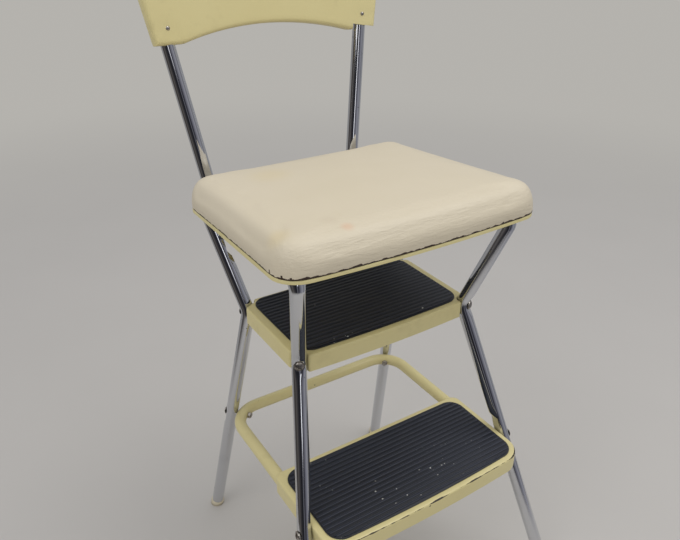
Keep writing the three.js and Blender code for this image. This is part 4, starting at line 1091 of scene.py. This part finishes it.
# The backrest: a dished steel panel, enamelled like the steps. Its edges are rolled back into a
# flange, with an arch cut under its middle and its lower corners left raw where the posts enter.
panel_share = 0.892
panel_sheet = 0.0016
panel_face = tube_radius + part_gap + panel_sheet
panel_lean = math.atan(post_rise.y)
panel_back = Vector((0, math.cos(panel_lean), -math.sin(panel_lean)))
panel_top = 0.9054
panel_top_crown = 0.006
panel_top_corner = 0.04
panel_curve = 0.012
panel_flange = 0.014
panel_edge = 0.004
arch_foot = 0.7725
arch_rise = 0.0185
arch_half_width = 0.133
corner_foot = 0.7763
panel_notch = 0.003
panel_half_width = post_at(corner_foot).x / panel_share
face_rise = panel_face * math.sin(panel_lean)
edge_rings = 5
joggle = 0.0007
joggle_run = 0.002
joggle_foot = (0.03, 0.02)
past_panel = 0.03
wedge_depth = 0.08


def quarter_drop(radius, distance):
    missing = max(0, radius - distance)
    return radius - math.sqrt(radius ** 2 - missing ** 2)


def smooth_share(value):
    value = min(1, max(0, value))
    return value * value * (3 - 2 * value)


def panel_place(unfolded):
    """Where a place on the unfolded panel goes: x and y run over its face, and z counts the rings
    past the face, each turned further round the edge, with the last one on the flange's end."""
    ring = round(unfolded.z)
    turn = math.pi / 2 * min(ring, edge_rings) / edge_rings
    inset = panel_edge * (1 - math.sin(turn))
    share = math.sin(unfolded.x * math.pi / 2) * (1 - inset / panel_half_width)
    spread = abs(share) * panel_half_width
    side = (1 - abs(share)) * panel_half_width
    arch = arch_rise * max(0, 1 - (spread / arch_half_width) ** 2)
    low = arch_foot - face_rise + arch + inset
    high = panel_top - face_rise - panel_top_crown * share ** 2
    high -= quarter_drop(panel_top_corner, side) + inset
    height = low + (high - low) * (unfolded.y + 1) / 2
    curve = panel_curve * (1 - (share / panel_share) ** 2)
    depth = curve - panel_face + panel_edge * (1 - math.cos(turn))
    if ring > edge_rings:
        depth = curve - panel_face + panel_flange
    elif spread > arch_half_width:
        beside = smooth_share((spread - arch_half_width) / joggle_run)
        depth += joggle * beside * smooth_share((low + joggle_foot[0] - height) / joggle_foot[1])
    post = post_at(height)
    return Vector((share * post.x / panel_share, post.y, height)) + panel_back * depth


bpy.ops.object.select_all(action="DESELECT")
bpy.ops.mesh.primitive_grid_add(x_subdivisions=72, y_subdivisions=24, size=2)
panel = bpy.context.active_object
bpy.ops.object.mode_set(mode="EDIT")
bpy.ops.mesh.select_mode(type="FACE")
bpy.ops.mesh.select_all(action="SELECT")
bpy.ops.mesh.region_to_loop()
for ring in range(edge_rings + 1):
    extrude((0, 0, 1))
bpy.ops.object.mode_set(mode="OBJECT")
for vertex in panel.data.vertices:
    vertex.co = panel_place(vertex.co)
bpy.ops.object.mode_set(mode="EDIT")
face_out(panel, Vector((0, -1, 0)))
apply_modifier(panel, "SOLIDIFY", thickness=panel_sheet, offset=-1)
for side in (1, -1):
    near = side * (arch_half_width + panel_notch)
    far = side * (panel_half_width + past_panel)
    wedge = block((0, 0, 0), (2, 2, 2))
    for vertex in wedge.data.vertices:
        x = near if vertex.co.x * side < 0 else far
        lift = (post_at(corner_foot).x - abs(x)) * post_rise.x
        z = corner_foot + lift if vertex.co.z > 0 else arch_foot - past_panel
        vertex.co = Vector((x, post_at(corner_foot).y + wedge_depth * vertex.co.y, z))
    wedge.data.update()
    if side < 0:
        wedge.data.flip_normals()
    cut_by(panel, wedge)
panel_paint = paint_finish("backrest_paint", 0.0)
finish_mesh(panel, "enamelled_backrest", panel_paint, "frame", 40)
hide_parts("backrest_panel")


# Screws, nuts and the hinge's rivets: plain steel hardware, dulled and grimy. The frame's screws
# have a domed head with one slot, and the backrest's a small dome with none.
wide_head = 1.1
slot_width = 0.0022
slot_depth = 0.0018
slot_turn = 53
slot_start = 5
dome_steps = 8
# Shares of a head's radius and height: its dome's, and the places of its rim.
dome_across, dome_down = 0.86, 0.8
rim_shares = [(0.88, 0.93), (1.0, 0.86), (1.0, 1.0)]
nut_face = 0.88
nut_edge = 0.12
nut_bore = 0.0028
rivet_head = 0.002
rivet_shank = 0.0025
# Screws: head's height, shank's radius and whether a slot is cut.
frame_screw = (0.0032, 0.0025, True)
backrest_screw = (0.0016, 0.002, False)
board_screw = (0.002, 0.002, True)


def turned_axis(node):
    """The ends and the size of a CAD fastener: (start, direction, length, widest radius)."""
    places = np.unique(np.array([v.co[:] for v in frame["nodes"][node].data.vertices]).round(6), axis=0)
    middle = places.mean(axis=0)
    spread = np.linalg.svd(places - middle)[2]
    widths = [np.ptp((places - middle) @ line) for line in spread]
    pick = 0 if "screw" in node or "pin" in node else int(np.argmin(widths))
    line = spread[pick]
    along = (places - middle) @ line
    radius = np.linalg.norm((places - middle) - np.outer(along, line), axis=1)
    halfway = (along.max() + along.min()) / 2
    if radius[along > halfway].max() > radius[along < halfway].max():
        line, along = -line, -along
    start = middle + line * along.min()
    return Vector(start), Vector(line), float(np.ptp(along)), float(radius.max())


def dome(radius, height):
    """The profile of a dome, from its top down: (radius, height) pairs."""
    turns = [math.pi / 2 * step / dome_steps for step in range(dome_steps + 1)]
    return [
        (max(radius * math.sin(turn), radius / 50), height * (1 - math.cos(turn))) for turn in turns
    ]


def fastener(node, body, head_height, shank_radius, slotted):
    start, direction, length, radius = turned_axis(node)
    if "knee" in node or "step" in node:
        radius *= wide_head
    piece = lathed([
        *dome(radius * dome_across, head_height * dome_down),
        *((radius * across, head_height * down) for across, down in rim_shares),
        (shank_radius, head_height), (shank_radius, length - shank_radius / 3),
        (shank_radius * 2 / 3, length), (shank_radius / 50, length),
    ])
    if slotted:
        cutter = block((0, 0, 0), (3 * radius, slot_width, 2 * slot_depth))
        cutter.data.transform(Matrix.Rotation(math.radians(len(node) * slot_turn + slot_start), 4, "Z"))
        cut_by(piece, cutter)
    piece.data.transform(standing(start, direction))
    finish_mesh(piece, f"steel_{node}", steel, body, 40)
    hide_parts(node)


def hexagon_nut(node):
    start, direction, length, radius = turned_axis(node)
    piece = lathed([
        (radius * nut_face, 0), (radius, length * nut_edge),
        (radius, length * (1 - nut_edge)), (radius * nut_face, length),
    ], 6)
    cut_by(piece, rod(16, nut_bore, 4 * length, (0, 0, length / 2)))
    piece.data.transform(standing(start, direction))
    finish_mesh(piece, f"steel_{node}", steel, "frame", 30)
    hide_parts(node)


for side in ("right", "left"):
    for use in (
        "knee_screw_front", "knee_screw_rear", "step_screw",
        "brace_screw", "lap_screw", "bracket_screw",
    ):
        fastener(f"{use}_{side}", "frame", *frame_screw)
    for use in ("backrest_screw_lower", "backrest_screw_upper"):
        fastener(f"{use}_{side}", "frame", *backrest_screw)
    for use in ("board_screw_front", "board_screw_rear"):
        fastener(f"{use}_{side}", "seat", *board_screw)
    for use in ("knee_nut_front", "knee_nut_rear", "step_nut", "brace_nut", "lap_nut", "bracket_nut"):
        hexagon_nut(f"{use}_{side}")
    start, direction, length, radius = turned_axis(f"hinge_pin_{side}")
    head = dome(radius, rivet_head * dome_down)
    rivet = lathed([
        *head, (radius, rivet_head), (rivet_shank, rivet_head),
        (rivet_shank, length - rivet_head), (radius, length - rivet_head),
        *((across, length - height) for across, height in reversed(head)),
    ])
    rivet.data.transform(standing(start, direction))
    finish_mesh(rivet, f"rivet_hinge_pin_{side}", steel, "frame", 40)
    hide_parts(f"hinge_pin_{side}")


# The pieces that keep their built shape: the hinge brackets of dull steel, screwed to the rails,
# the rubber bumpers stuck under the pan, and the plywood board screwed to it inside the cushion.
wood_color = (0.42, 0.26, 0.12, 1)
wood_grain = (0.22, 0.12, 0.05, 1)
plywood, tree, shader, place = new_finish("bare_plywood", Roughness=0.75)
grain = noise(tree, stretched(tree, place, 0.08, 1.0, 1.0), 160.0, 6.0)
feed(tree, mixed(tree, grain, wood_color, wood_grain), shader, "Base Color")
bumped(tree, shader, grain, 0.0003, 0.4)

bumper_rubber = rubber_finish("bumper_rubber")
kept = [
    ("hinge_bracket_right", steel), ("hinge_bracket_left", steel), ("seat_bumper_right", bumper_rubber),
    ("seat_bumper_left", bumper_rubber), ("seat_board", plywood),
]
for node, material in kept:
    frame["nodes"][node].data.materials.clear()
    frame["nodes"][node].data.materials.append(material)

low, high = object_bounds()
